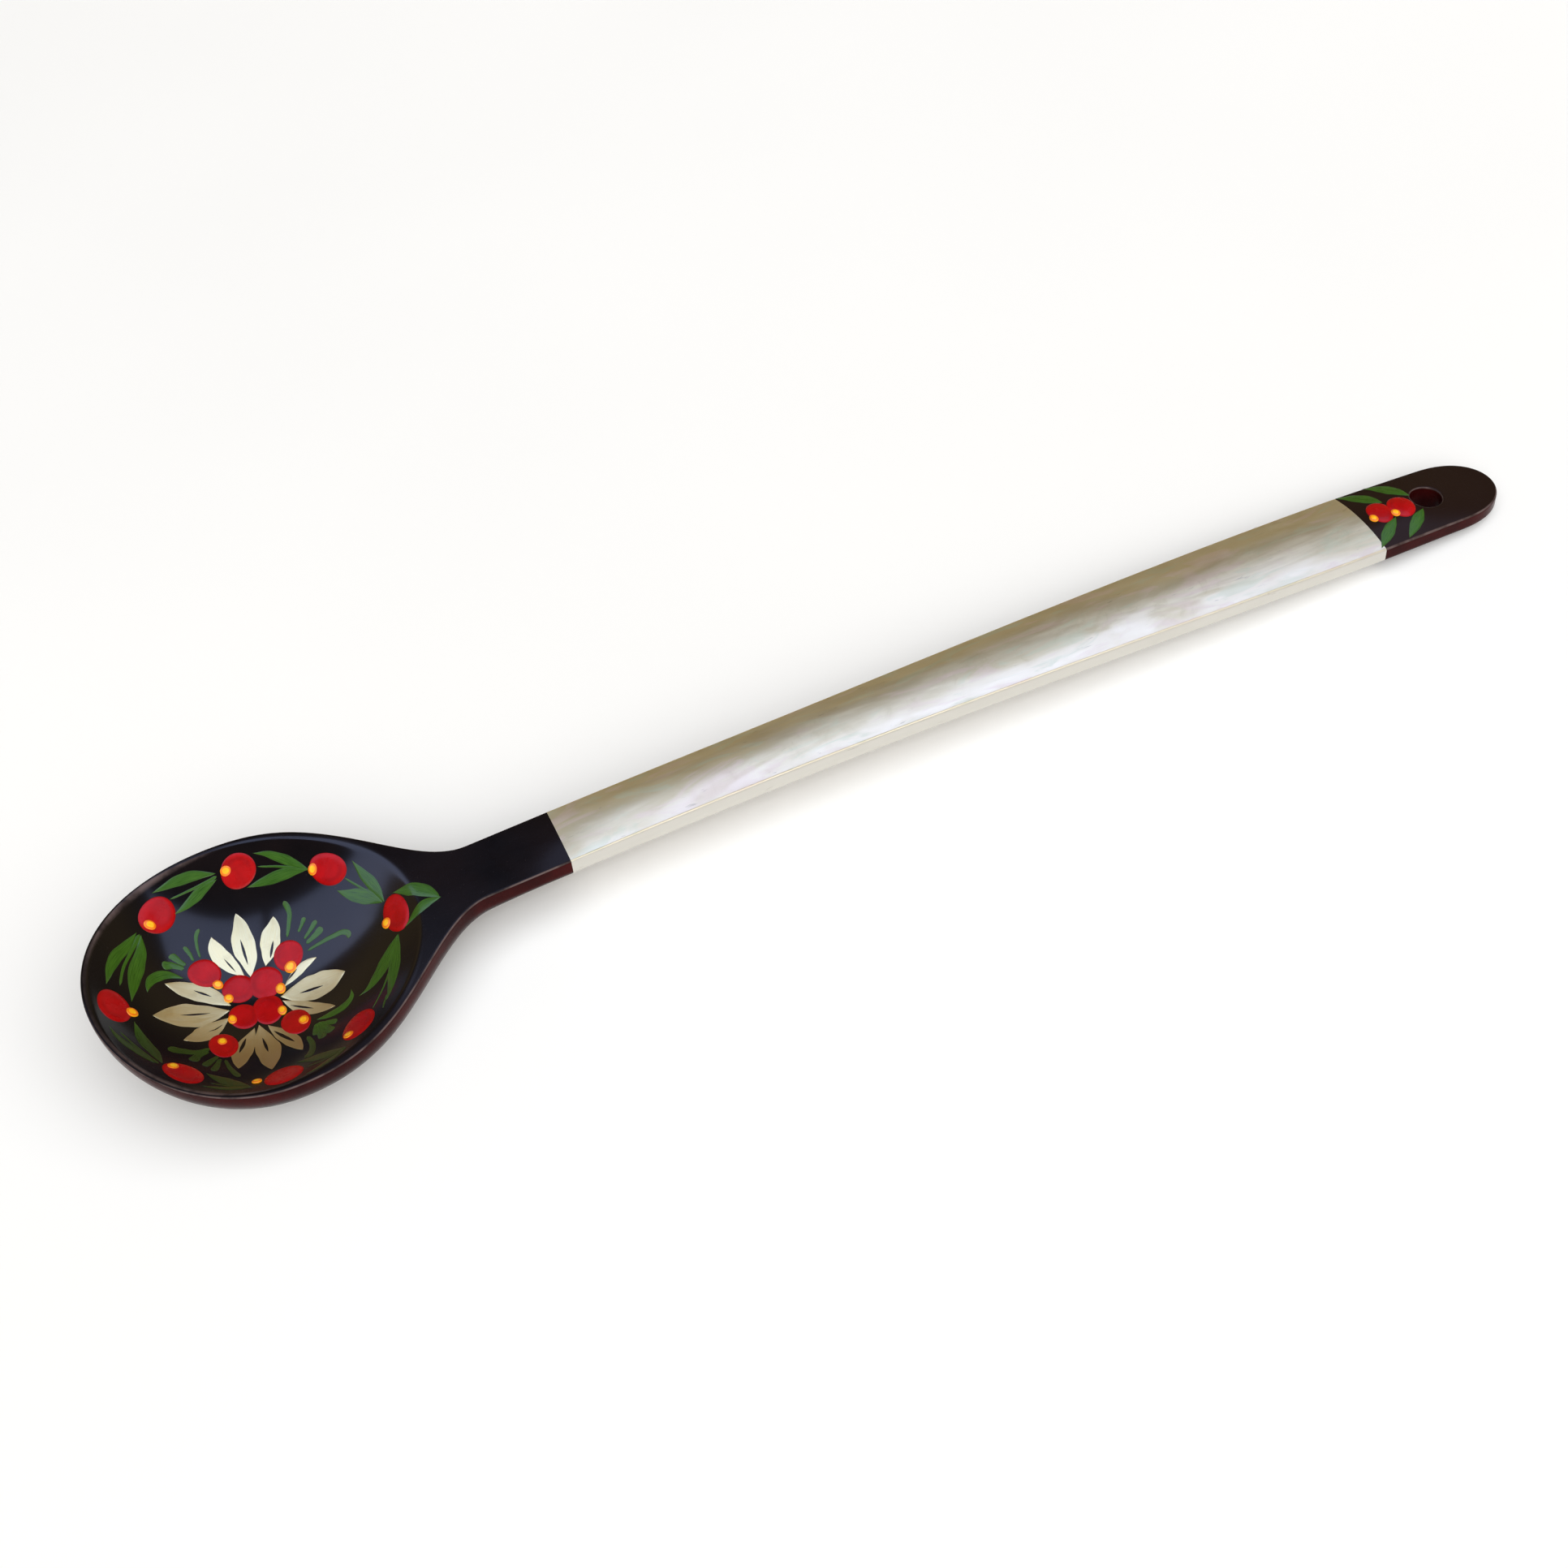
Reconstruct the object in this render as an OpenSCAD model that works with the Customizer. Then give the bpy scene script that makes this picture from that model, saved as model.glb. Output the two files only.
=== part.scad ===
// Khokhloma spoon: one carved wooden blank, three lacquer grounds and the painted ornament on them.
//
// Everything is worked out in the spoon's own frame first: x runs from the tip of the bowl to the
// end of the handle, y across and z up, with z = 0 at the lowest part of the rim. laid_down()
// then sets it on the table as it really lies, on the back of the bowl and the end of the handle,
// with the origin under the middle of its box.

/* [Spoon] */
// Length along the spoon's own axis
spoon_length = 300; // [280:1:320]
// Thickness of a lacquer ground over the wood
coat = 0.25; // [0.2:0.05:0.35]

/* [Bowl] */
// Width of the bowl across its rim
bowl_w = 63.8; // [58:0.2:68]
// Distance from the tip to the widest part of the bowl
bowl_x = 30.4; // [28:0.2:33]
// Depth of the bowl's back below the rim
bowl_depth = 15; // [14.5:0.1:17]
// Depth of the hollow below the rim
cavity_depth = 10.4; // [9:0.1:11]
// Far end of the hollow, towards the neck
cavity_end_x = 61.7; // [60:0.1:63]
// Width of the rim's flat edge
rim_w = 1.3; // [1:0.1:2]
// Height of the rim's upright edge
rim_edge = 1.2; // [1:0.1:1.6]
// How far the rim climbs at the tip
tip_lift = 4.8; // [3:0.1:5.5]

/* [Neck and handle] */
// Where the bowl's shoulder has run out into the neck
shoulder_x = 74; // [72:1:80]
// Narrowest width, just behind the neck
neck_w = 14.4; // [13:0.2:16]
// Where the neck is narrowest
neck_x = 122; // [110:1:130]
// Widest width of the handle
handle_w = 19; // [17:0.2:21]
// Where the handle is widest
handle_x = 262; // [255:1:265]
// Width that the handle runs out to before its round end
end_w = 17.6; // [16:0.2:19]
// Length of the round end
end_round = 13; // [12:1:18]
// Thickness of the neck below its top edges
neck_t = 6.2; // [5.5:0.1:7.5]
// Thickness of the handle's end below its top edges
end_t = 4.8; // [4.5:0.1:6]
// Height of the handle's upright side
handle_edge = 2.4; // [2:0.1:3]
// Height of the handle's rounded top above its edges
crown_h = 1.2; // [0.8:0.1:1.6]
// How far the handle's edge climbs above the rim
handle_rise = 9.4; // [6:0.1:14]
// Where the rim starts to climb towards the handle
rise_x = 50; // [46:1:54]
// Diameter of the hanging hole, finished
hole_d = 6.6; // [5.5:0.1:7]
// Middle of the hanging hole
hole_x = 284; // [282:1:286]

/* [Grounds] */
// End of the black ground on the neck
neck_band_x = 90.6; // [86:0.2:96]
// Start of the black ground on the handle's tip
tip_band_x = 268; // [266:0.2:270]

/* [Ornament] */
// Thickness of a brushed stroke
stroke_h = 0.12; // [0.1:0.01:0.2]
// Height of a berry's dab of paint
berry_h = 0.35; // [0.25:0.05:0.5]

/* [Hidden] */

// Colours
wood = "#c9a46c";
black = "#17100f";
silver = "#c2b99f";
red = "#c4161f";
yellow = "#f0b323";
green = "#3b7a22";
ivory = "#cfc7a4";

// ---- Small helpers ----
function clamp01(t) = min(max(t, 0), 1);
function ease(t) = let (u = clamp01(t)) u * u * (3 - 2 * u);
function mix(a, b, t) = a + (b - a) * t;
function quarter_round(t) = sqrt(max(1 - t * t, 0));
function falling(t) = (1 + cos(180 * clamp01(t))) / 2;

// ---- Outline, seen from above ----
shoulder_start = 0.6;
end_power = 2.5;

function round_end(x) =
    sqrt(1 - pow(clamp01(1 - (spoon_length - x) / end_round), end_power));
function stick_half(x) =
    neck_w / 2
    + (handle_w - neck_w) / 2 * ease((x - neck_x) / (handle_x - neck_x))
    - (handle_w - end_w) / 2 * ease((x - handle_x) / (spoon_length - handle_x));
function shoulder(x) =
    let (u = clamp01((x - bowl_x) / (shoulder_x - bowl_x)))
    falling(u * mix(shoulder_start, 1, u));
function half_width(x) =
    x < bowl_x
    ? bowl_w / 2 * quarter_round(1 - x / bowl_x)
    : mix(stick_half(x), bowl_w / 2, shoulder(x)) * round_end(x);

// ---- Height of the rim and of the handle's top edges ----
rise_corner = 4;
rise_power = 2.3;

function past_rise(x) = rise_corner / 2 * ln(1 + exp(2 * (x - rise_x) / rise_corner));
function edge_line(x) =
    handle_rise * (1 - pow(max(1 - past_rise(x) / past_rise(spoon_length), 0), rise_power))
    + tip_lift * pow(max(1 - x / bowl_x, 0), 2);

// ---- The hollow ----
cavity_skew = -0.17;
cavity_half_w = bowl_w / 2 - rim_w;
cavity_mid_x = (cavity_end_x + rim_w) / 2;
cavity_half_l = (cavity_end_x - rim_w) / 2;
lip = 0.02;

// 1 in the middle of the hollow, 0 on its edge and below 0 outside it
function inside_cavity(x, y) =
    let (t = (x - cavity_mid_x) / cavity_half_l)
    abs(t) > 1.3 ? -1 : (1 - t * t) * (1 + cavity_skew * t) - pow(y / cavity_half_w, 2);
function softened(e) = (e + sqrt(e * e + lip * lip)) / 2;

// ---- Upper surface ----
crown_start = 80;
crown_full = 112;
crown_fade = 24;

// The handle's rounded top starts behind the neck and fades out over the handle's tip
function crown(x) =
    crown_h
    * ease((x - crown_start) / (crown_full - crown_start))
    * ease((spoon_length - x) / crown_fade);
function upper(x, y) =
    edge_line(x)
    + crown(x) * max(1 - pow(y / half_width(x), 2), 0)
    - cavity_depth * softened(inside_cavity(x, y));

// ---- Underside ----
keel_end_x = 86;
edge_start = 40;
edge_full = 85;

function upright_edge(x) =
    mix(rim_edge, handle_edge, ease((x - edge_start) / (edge_full - edge_start)));
function stick_t(x) = mix(neck_t, end_t, clamp01((x - neck_x) / (spoon_length - neck_x)));
function body_t(x) =
    let (edge = upright_edge(x))
    x < bowl_x
    ? edge + (bowl_depth - edge) * quarter_round(1 - x / bowl_x)
    : edge + round_end(x)
        * (mix(stick_t(x), bowl_depth, falling((x - bowl_x) / (keel_end_x - bowl_x))) - edge);
function lower(x, v) =
    edge_line(x) - upright_edge(x) - (body_t(x) - upright_edge(x)) * quarter_round(v);

// ---- Rings across the spoon ----
// A ring is a closed row of points across the spoon. It runs over the top from -y to +y and back
// underneath. v is the place across, from -1 on one edge to 1 on the other.
top_steps = 7;
under_steps = 6;
ring_size = 2 * top_steps + 2 * under_steps + 4;
blunt = 0.05;

// The last top point before the edge lies on the edge of the hollow
function cavity_v(x) =
    max(
        cavity_half_w * sqrt(max(inside_cavity(x, 0), 0)) / half_width(x),
        mix(0.3, 0.8, ease((x - cavity_end_x) / 20))
    );
function top_v(x, k) = abs(k) > top_steps ? sign(k) : k / top_steps * cavity_v(x);
function inset_x(x, inset) = inset + x * (1 - 2 * inset / spoon_length);
function top_point(x, v, inset) =
    let (xi = inset_x(x, inset), y = v * (half_width(x) - inset))
    [xi, y, upper(xi, y) - inset];
function under_point(x, v, inset) =
    [inset_x(x, inset), v * (half_width(x) - inset), lower(inset_x(x, inset), v) + inset];
function ring(x, inset) = concat(
    [for (k = [-top_steps - 1:top_steps + 1]) top_point(x, top_v(x, k), inset)],
    [for (k = [under_steps:-1:-under_steps]) under_point(x, sin(90 * k / under_steps), inset)]
);

// ---- Stations along the spoon ----
nose_steps = 8;
bowl_steps = 14;
handle_steps = 14;
tip_steps = 4;
round_steps = 6;
last_x = spoon_length - end_round;
nose_stations = [
    for (i = [0:nose_steps]) max(bowl_x * (1 - cos(90 * i / nose_steps)), blunt)
];
bowl_stations = [for (i = [1:bowl_steps]) mix(bowl_x, neck_band_x, i / bowl_steps)];
handle_stations = [for (i = [1:handle_steps]) mix(neck_band_x, tip_band_x, i / handle_steps)];
tip_stations = concat(
    [for (i = [1:tip_steps]) mix(tip_band_x, last_x, i / tip_steps)],
    [for (i = [1:round_steps]) last_x + (end_round - blunt) * sin(90 * i / round_steps)]
);

// ---- Closed solids from rings ----
function flat(rows) = [for (row = rows) for (p = row) p];
function wall_faces(first, rings, size, flip = false) = [
    for (i = [0:rings - 2])
        for (j = [0:size - 1])
            let (
                a = first + i * size + j,
                b = first + i * size + (j + 1) % size,
                c = b + size,
                d = a + size
            )
            for (f = [[a, b, c], [a, c, d]])
                flip ? [f[2], f[1], f[0]] : f
];
function cap_face(first, size, flip = false) =
    flip ? [for (j = [size - 1:-1:0]) first + j] : [for (j = [0:size - 1]) first + j];

module lofted_solid(stations, inset) {
    rings = [for (x = stations) ring(x, inset)];
    n = len(rings);
    polyhedron(
        points = flat(rings),
        faces = concat(
            [cap_face(0, ring_size, true)],
            wall_faces(0, n, ring_size),
            [cap_face((n - 1) * ring_size, ring_size)]
        )
    );
}

// A ground is the skin between the finished surface and the wood. It is open where it meets the
// next ground and closed over the tip of the bowl or the end of the handle.
module ground(stations, closed_start = false, closed_end = false) {
    n = len(stations);
    size = ring_size;
    inner = n * size;
    last = (n - 1) * size;
    start_faces = closed_start
        ? [cap_face(0, size, true), cap_face(inner, size)]
        : [
            for (j = [0:size - 1])
                let (k = (j + 1) % size)
                for (f = [[j, inner + k, k], [j, inner + j, inner + k]]) f
        ];
    end_faces = closed_end
        ? [cap_face(last, size), cap_face(inner + last, size, true)]
        : [
            for (j = [0:size - 1])
                let (k = (j + 1) % size)
                for (f = [
                    [last + j, last + k, inner + last + k],
                    [last + j, inner + last + k, inner + last + j]
                ]) f
        ];
    polyhedron(
        points = concat(
            flat([for (x = stations) ring(x, 0)]),
            flat([for (x = stations) ring(x, coat)])
        ),
        faces = concat(
            wall_faces(0, n, size),
            wall_faces(inner, n, size, true),
            start_faces,
            end_faces
        )
    );
}

// ---- Resting pose ----
belly_stations = [for (x = [10:1:70]) x];
heel_stations = [for (x = [200:1:spoon_length]) x];

function keel(x) = lower(x, 0);
function height_when_tilted(x, a) = keel(x) * cos(a) - x * sin(a);
function lowest_x(xs, a, i = 0, best = 0) =
    i == len(xs)
    ? xs[best]
    : lowest_x(
        xs,
        a,
        i + 1,
        height_when_tilted(xs[i], a) < height_when_tilted(xs[best], a) ? i : best
    );
function resting_tilt(a = 0, turns = 5) =
    turns == 0
    ? a
    : let (belly = lowest_x(belly_stations, a), heel = lowest_x(heel_stations, a))
        resting_tilt(atan((keel(heel) - keel(belly)) / (heel - belly)), turns - 1);

tilt = resting_tilt();
table_drop = height_when_tilted(lowest_x(belly_stations, tilt), tilt);
front_x = blunt * cos(tilt) + (edge_line(0) - rim_edge) * sin(tilt);
back_x = (spoon_length - blunt) * cos(tilt) + edge_line(spoon_length) * sin(tilt);

module laid_down() {
    translate([-(front_x + back_x) / 2, 0, -table_drop])
        rotate([0, tilt, 0])
            children();
}

// ---- Wood and grounds ----
hole_reach = 20;

module hanging_hole(d) {
    translate([hole_x, 0, -hole_reach])
        cylinder(d = d, h = 2 * hole_reach, $fn = 48);
}

module wooden_blank() {
    stations = concat(nose_stations, bowl_stations, handle_stations, tip_stations);
    color(wood)
        laid_down()
            difference() {
                lofted_solid(stations, coat);
                hanging_hole(hole_d + 2 * coat);
            }
}

module black_ground_bowl() {
    color(black)
        laid_down()
            ground(concat(nose_stations, bowl_stations), closed_start = true);
}

module silver_ground_handle() {
    color(silver)
        laid_down()
            ground(concat([neck_band_x], handle_stations));
}

// The black coat of the tip also lines the hanging hole
module black_ground_tip() {
    stations = concat([tip_band_x], tip_stations);
    color(black)
        laid_down()
            difference() {
                union() {
                    ground(stations, closed_end = true);
                    intersection() {
                        lofted_solid(stations, coat / 2);
                        hanging_hole(hole_d + 2 * coat);
                    }
                }
                hanging_hole(hole_d);
            }
}

// ---- Paint ----
// A dab is [x, y, half length, half width, turn] and a stroke is [[places along it], half width].
// Places are in the spoon's own frame, along and across it.
sink = 0.02;
near_edge = 0.1;
berry_sides = 20;
dot_sides = 10;
dab_rings = [[1, 0], [0.85, 0.55], [0.5, 0.92]];
on_strokes = stroke_h * 1.05;
dot_h = berry_h / 2;
dot_base = berry_h * 0.75;

function on_lacquer(p, h) =
    let (reach = half_width(p.x) - near_edge, y = min(max(p.y, -reach), reach))
    [p.x, y, upper(p.x, y) + h];

// A domed dab of paint, as a fingertip or a cotton stamp leaves it
module dab(row, h, sides, base = 0) {
    middle = [row[0], row[1]];
    turn = row[4];
    function out(d, a) =
        let (u = d * row[2] * cos(a), v = d * row[3] * sin(a))
        middle + [u * cos(turn) - v * sin(turn), u * sin(turn) + v * cos(turn)];
    rings = [
        for (ring = dab_rings)
            [for (k = [0:sides - 1]) on_lacquer(out(ring[0], 360 * k / sides), base + ring[1] * h)]
    ];
    n = len(rings);
    top = n * sides;
    bottom = top + 1;
    polyhedron(
        points = concat(
            flat(rings),
            [on_lacquer(middle, base + h), on_lacquer(middle, base - sink)]
        ),
        faces = concat(
            [
                for (i = [0:n - 2])
                    for (j = [0:sides - 1])
                        let (a = i * sides + j, b = i * sides + (j + 1) % sides)
                        for (f = [[a, b + sides, b], [a, a + sides, b + sides]]) f
            ],
            [for (j = [0:sides - 1]) [(n - 1) * sides + j, top, (n - 1) * sides + (j + 1) % sides]],
            [for (j = [0:sides - 1]) [bottom, j, (j + 1) % sides]]
        )
    );
}

// A smooth line through a few places, t from 0 at the first of them to 1 at the last
function along(p, t) =
    let (
        n = len(p) - 1,
        k = min(floor(t * n), n - 1),
        u = t * n - k,
        a = k == 0 ? 2 * p[0] - p[1] : p[k - 1],
        b = p[k],
        c = p[k + 1],
        d = k == n - 1 ? 2 * p[n] - p[n - 1] : p[k + 2]
    )
    b + (c - a) * u / 2
    + (2 * a - 5 * b + 4 * c - d) * pow(u, 2) / 2
    + (3 * b - a - 3 * c + d) * pow(u, 3) / 2;

// A brush stroke: it swells to its full width and runs out to a point at each end. fat says how
// far along it is widest.
module stroke(row, fat = 0.5, h = stroke_h, base = 0, steps = 8) {
    places = row[0];
    swell_power = ln(0.5) / ln(fat);
    step = 0.01;
    function side(t) =
        let (way = along(places, t + step) - along(places, t - step)) [-way.y, way.x] / norm(way);
    function half(t) = row[1] * pow(sin(180 * pow(t, swell_power)), 0.8);
    middles = [
        for (i = [1:steps - 1])
            let (t = i / steps, c = along(places, t))
            [
                on_lacquer(c + side(t) * half(t), base),
                on_lacquer(c, base + h),
                on_lacquer(c - side(t) * half(t), base),
                on_lacquer(c, base - sink)
            ]
    ];
    n = steps - 1;
    start = 4 * n;
    end = start + 1;
    polyhedron(
        points = concat(
            flat(middles),
            [on_lacquer(places[0], base), on_lacquer(places[len(places) - 1], base)]
        ),
        faces = concat(
            [for (j = [0:3]) [start, j, (j + 1) % 4]],
            wall_faces(0, n, 4, true),
            [for (j = [0:3]) [end, 4 * (n - 1) + (j + 1) % 4, 4 * (n - 1) + j]]
        )
    );
}

// ---- Garland round the bowl ----
garland_leaf_rows = [
    [[[56.2, 4.4], [55.6, 8.5], [54.6, 12], [53.4, 16.5]], 1],
    [[[55.9, 4.6], [54.2, 7.3], [52.6, 9.2], [50.9, 10.9], [48.8, 13.4]], 1.35],
    [[[65.8, -2.6], [64.5, -0.5], [62.7, 1.4], [60.8, 3], [58.3, 4.7]], 1.5],
    [[[66, -2.6], [63.2, -2.6], [60.8, -3.4], [58, -4.4]], 1.1],
    [[[45.2, 20.2], [43.4, 22.2], [41.3, 24.4], [39, 26.4], [36.4, 27.7]], 0.85],
    [[[45, 20.3], [42.5, 21.4], [40, 21.9], [37, 22.3], [33.2, 22.6]], 1.15],
    [[[28.6, 26.9], [25, 27.5], [22, 27.3], [19.5, 26.6], [16.3, 25.4]], 0.95],
    [[[28.4, 25.9], [25.5, 24.9], [23, 23.5], [21, 22.3], [18.8, 21.2]], 0.9],
    [[[11.6, 17.8], [9.2, 14.8], [7.2, 12.2], [5.6, 9.2], [4.3, 5.2]], 0.95],
    [[[12.2, 17.4], [11.3, 13.8], [10, 10.5], [8.7, 7], [7.4, 1.8]], 1.15],
    [[[9.8, -15.4], [8.9, -12], [7.8, -9], [7.3, -6.5], [7, -3.4]], 1],
    [[[8.6, -15.5], [6.5, -12.3], [4.8, -10], [3.8, -8], [3.1, -5.9]], 0.65],
    [[[22.8, -26.6], [20, -23.8], [18, -21.5], [16.2, -19]], 1.1],
    [[[23.2, -27.2], [20, -26.2], [17.5, -25], [15.2, -23.8]], 0.6],
    [[[40.5, -26.4], [37.5, -25.6], [35, -24.6], [31.6, -23.1]], 1.15],
    [[[40.4, -26.8], [37.5, -28.1], [35, -29], [32.6, -29.6]], 0.7],
    [[[56.2, -4.6], [52.9, -8], [50.3, -10.4], [48, -12], [45.9, -12.5]], 1.5],
    [[[56.4, -4.6], [54.2, -9.5], [52.9, -13], [51.5, -16.4], [50, -19.2]], 1.25]
];
garland_stem_rows = [
    [[[56, 5], [53.4, 10.2], [50.9, 14.7]], 0.3],
    [[[45.2, 20.2], [40.5, 23.3], [36.3, 25.3]], 0.28],
    [[[28.6, 26.4], [23, 25.2], [19, 24.1]], 0.3],
    [[[12, 17.5], [8, 10.5], [6.3, 5.4]], 0.35],
    [[[9.2, -15.6], [6.4, -10.8], [4.5, -6.9]], 0.3],
    [[[23, -26.9], [19.5, -25], [16.6, -22.8]], 0.25],
    [[[40.5, -26.6], [36.5, -26.9], [32.9, -26.5]], 0.25],
    [[[53, -10.8], [50, -15.2], [47.2, -18.7]], 0.25],
    [[[50.6, -17.6], [49.6, -19.2], [48.9, -20.9]], 0.28]
];
garland_berry_rows = [
    [57.4, 0.1, 2.5, 4.5, 3],
    [48.7, 18, 4.1, 2.7, 127],
    [32.7, 25.9, 3.4, 3.1, 0],
    [16, 21.2, 4, 2.8, 48],
    [4.6, -0.1, 2.3, 4.2, 0],
    [12.7, -18.8, 4.1, 2.6, 120],
    [28.8, -26.3, 3.5, 3.2, 0],
    [43.9, -21.1, 4.1, 3, 58]
];
garland_dot_rows = [
    [55.2, -0.2, 0.9, 1.2, 0],
    [46, 19.7, 0.9, 1.1, 0],
    [30.5, 26.7, 1.1, 0.9, 0],
    [14.2, 19.4, 1, 1, 0],
    [7, -1, 0.9, 1.1, 0],
    [11.3, -16.4, 0.9, 1.1, 0],
    [24.1, -25.4, 0.9, 0.8, 0],
    [41.7, -22.7, 1, 1, 0]
];

module garland_leaves() {
    color(green)
        laid_down()
            for (row = garland_leaf_rows) stroke(row, fat = 0.46);
}

module garland_stems() {
    color(green)
        laid_down()
            for (row = garland_stem_rows) stroke(row, h = stroke_h / 2, steps = 6);
}

module garland_berries() {
    color(red)
        laid_down()
            for (row = garland_berry_rows) dab(row, berry_h, berry_sides);
}

module garland_berry_dots() {
    color(yellow)
        laid_down()
            for (row = garland_dot_rows) dab(row, dot_h, dot_sides, dot_base);
}

// ---- Flower in the middle ----
petal_rows = [
    [[[27.4, 5.9], [25.8, 8.5], [24.5, 11.3], [23.9, 13.8], [23.9, 15.8]], 1.75],
    [[[28.4, 5.2], [28.9, 9], [29.1, 12.5], [29.5, 16], [29.6, 18.9]], 2.15],
    [[[31.6, 6.5], [33, 9.2], [34.3, 11.8], [35.4, 13.9], [36, 15.5]], 1.95],
    [[[33.6, 0.2], [36.2, 1.7], [38.6, 2.9], [41, 3.1]], 1.05],
    [[[32.4, -1.8], [36, -2.7], [39.8, -3.5], [45, -3.9]], 3.3],
    [[[32.5, -2.9], [35, -6.2], [37.7, -8.9], [41.2, -11.1]], 1.55],
    [[[28.6, -7.8], [30.6, -12], [32.1, -15.4], [33.2, -19.4]], 1.55],
    [[[27.1, -6.9], [27.2, -12], [27.4, -17], [27.1, -22.2]], 2.25],
    [[[26.2, -7.4], [23.9, -11.5], [22.6, -15], [21.6, -18.8]], 1.9],
    [[[22.4, -3], [19.5, -5], [16.8, -6.9], [13.9, -7.9]], 1.9],
    [[[22.9, -1.2], [18.5, -1.2], [14.5, -1.3], [10.1, -1.2]], 3.05],
    [[[23.4, 0], [20.5, 3], [17.3, 5.1], [13.5, 6.9]], 2.15]
];
vein_rows = [
    [[[24.8, 10.9], [26.1, 7.4]], 0.2],
    [[[28.8, 13.8], [28.6, 8.1]], 0.32],
    [[[34.5, 11], [32.9, 7.7]], 0.33],
    [[[36.9, 2.8], [34.6, 1.3]], 0.25],
    [[[35.9, -3.1], [40.4, -4.2]], 0.4],
    [[[33.6, -5], [37.4, -8.7]], 0.28],
    [[[29.3, -10], [32.3, -15.7]], 0.42],
    [[[27, -10.9], [27.3, -15.8]], 0.34],
    [[[24.2, -9.7], [22.4, -13.7]], 0.42],
    [[[21, -4.5], [19.6, -5.5], [18.3, -5.9]], 0.15],
    [[[14.5, -0.95], [19.5, -1.05]], 0.28],
    [[[17.9, 5], [20.6, 3]], 0.28]
];
outer_berry_rows = [
    [20.7, 8.5, 2.95, 3.15, 0],
    [36.2, 6.5, 2.9, 3.3, 0],
    [33.6, -10.1, 2.8, 3.6, 10],
    [20.2, -10.6, 2.55, 3.6, 0]
];
outer_dot_rows = [
    [22.3, 5.5, 0.95, 1, 0],
    [35.9, 3.9, 1.15, 1.35, 0],
    [35, -10.6, 1, 1.3, 0],
    [20.1, -9.4, 0.85, 1.15, 0]
];
heart_berry_rows = [
    [25.6, 3.4, 3, 3.3, 0],
    [30.6, 2.8, 3.3, 3.7, 0],
    [29.5, -3.8, 2.9, 3.8, 0],
    [25, -3.6, 2.7, 3.3, 0]
];
heart_dot_rows = [
    [23.4, 1.8, 0.9, 1, 0],
    [32.9, 0.1, 0.95, 1.3, 0],
    [31.9, -5.4, 0.85, 1.2, 0],
    [22.9, -3.7, 0.8, 1.2, 0]
];

module flower_petals() {
    color(ivory)
        laid_down()
            for (row = petal_rows) stroke(row, fat = 0.54, steps = 10);
}

module petal_veins() {
    color(black)
        laid_down()
            for (row = vein_rows) stroke(row, h = stroke_h / 2, base = stroke_h, steps = 6);
}

module flower_outer_berries() {
    color(red)
        laid_down()
            for (row = outer_berry_rows) dab(row, berry_h, berry_sides, on_strokes);
}

module flower_outer_dots() {
    color(yellow)
        laid_down()
            for (row = outer_dot_rows) dab(row, dot_h, dot_sides, on_strokes + dot_base);
}

module flower_heart_berries() {
    color(red)
        laid_down()
            for (row = heart_berry_rows) dab(row, berry_h, berry_sides, on_strokes);
}

module flower_heart_dots() {
    color(yellow)
        laid_down()
            for (row = heart_dot_rows) dab(row, dot_h, dot_sides, on_strokes + dot_base);
}

// ---- Grass and curled leaves round the flower ----
grass_rows = [
    [[[37.1, 10.3], [38.3, 12.8], [39.1, 15], [38.8, 17.3]], 0.6],
    [[[39.4, 10.2], [40.5, 11.3], [41.4, 12.4]], 0.5],
    [[[40, 8.2], [41.6, 9.3], [43.3, 10.5]], 0.6],
    [[[40.1, 7.1], [42, 7.7], [43.9, 8.4]], 0.85],
    [[[39.8, 5.5], [42.5, 5.6], [45, 5.4], [47.1, 4.9], [48, 3.9], [47.8, 2.8]], 0.65],
    [[[20.8, 12], [20.9, 14.5], [21.3, 16.5], [22.3, 17.9]], 0.4],
    [[[19.5, 11.6], [19.2, 13.2], [18.7, 14.8]], 0.5],
    [[[17.9, 10.8], [16.9, 12], [15.9, 13.3]], 0.85],
    [[[17.5, 10.1], [15.8, 10.9], [14, 11]], 1],
    [[[37, -13.4], [38.8, -14.6], [40.6, -15.8]], 0.85],
    [[[37.1, -13.5], [38.3, -15.8], [39.2, -18]], 1],
    [[[37, -13.5], [37.2, -16.2], [37.2, -18.7]], 1],
    [[[36.9, -13.3], [36.5, -15], [36.2, -16.6]], 0.8],
    [[[34.7, -15.8], [35.1, -18.5], [34.9, -20.5], [34, -22.4], [33.3, -21.8]], 0.85],
    [[[17.8, -10.8], [15.5, -11.7], [13.2, -11.2], [11.1, -10.3]], 1],
    [[[17.4, -11.6], [15.6, -12.8], [14.5, -14.5]], 1],
    [[[18.8, -13.6], [17.4, -14.9], [16.2, -16.4]], 0.85],
    [[[19, -14.5], [18.3, -16.3], [17.5, -18.4]], 0.75],
    [[[19.8, -15], [20.2, -18], [20.9, -20.3], [21.5, -21.9]], 0.6]
];
curled_leaf_rows = [
    [[[16.9, 8], [14.3, 8.9], [12.2, 8.2], [10.9, 6.5], [10.3, 4.6]], 1],
    [[[37.2, -12.2], [39.5, -12.7], [42.5, -12.7], [44.4, -11.4], [44.9, -9.3]], 0.95]
];

module grass_sprays() {
    color(green)
        laid_down() {
            for (row = grass_rows) stroke(row, fat = 0.62, h = stroke_h / 2);
            for (row = curled_leaf_rows) stroke(row, h = stroke_h / 2);
        }
}

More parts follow.
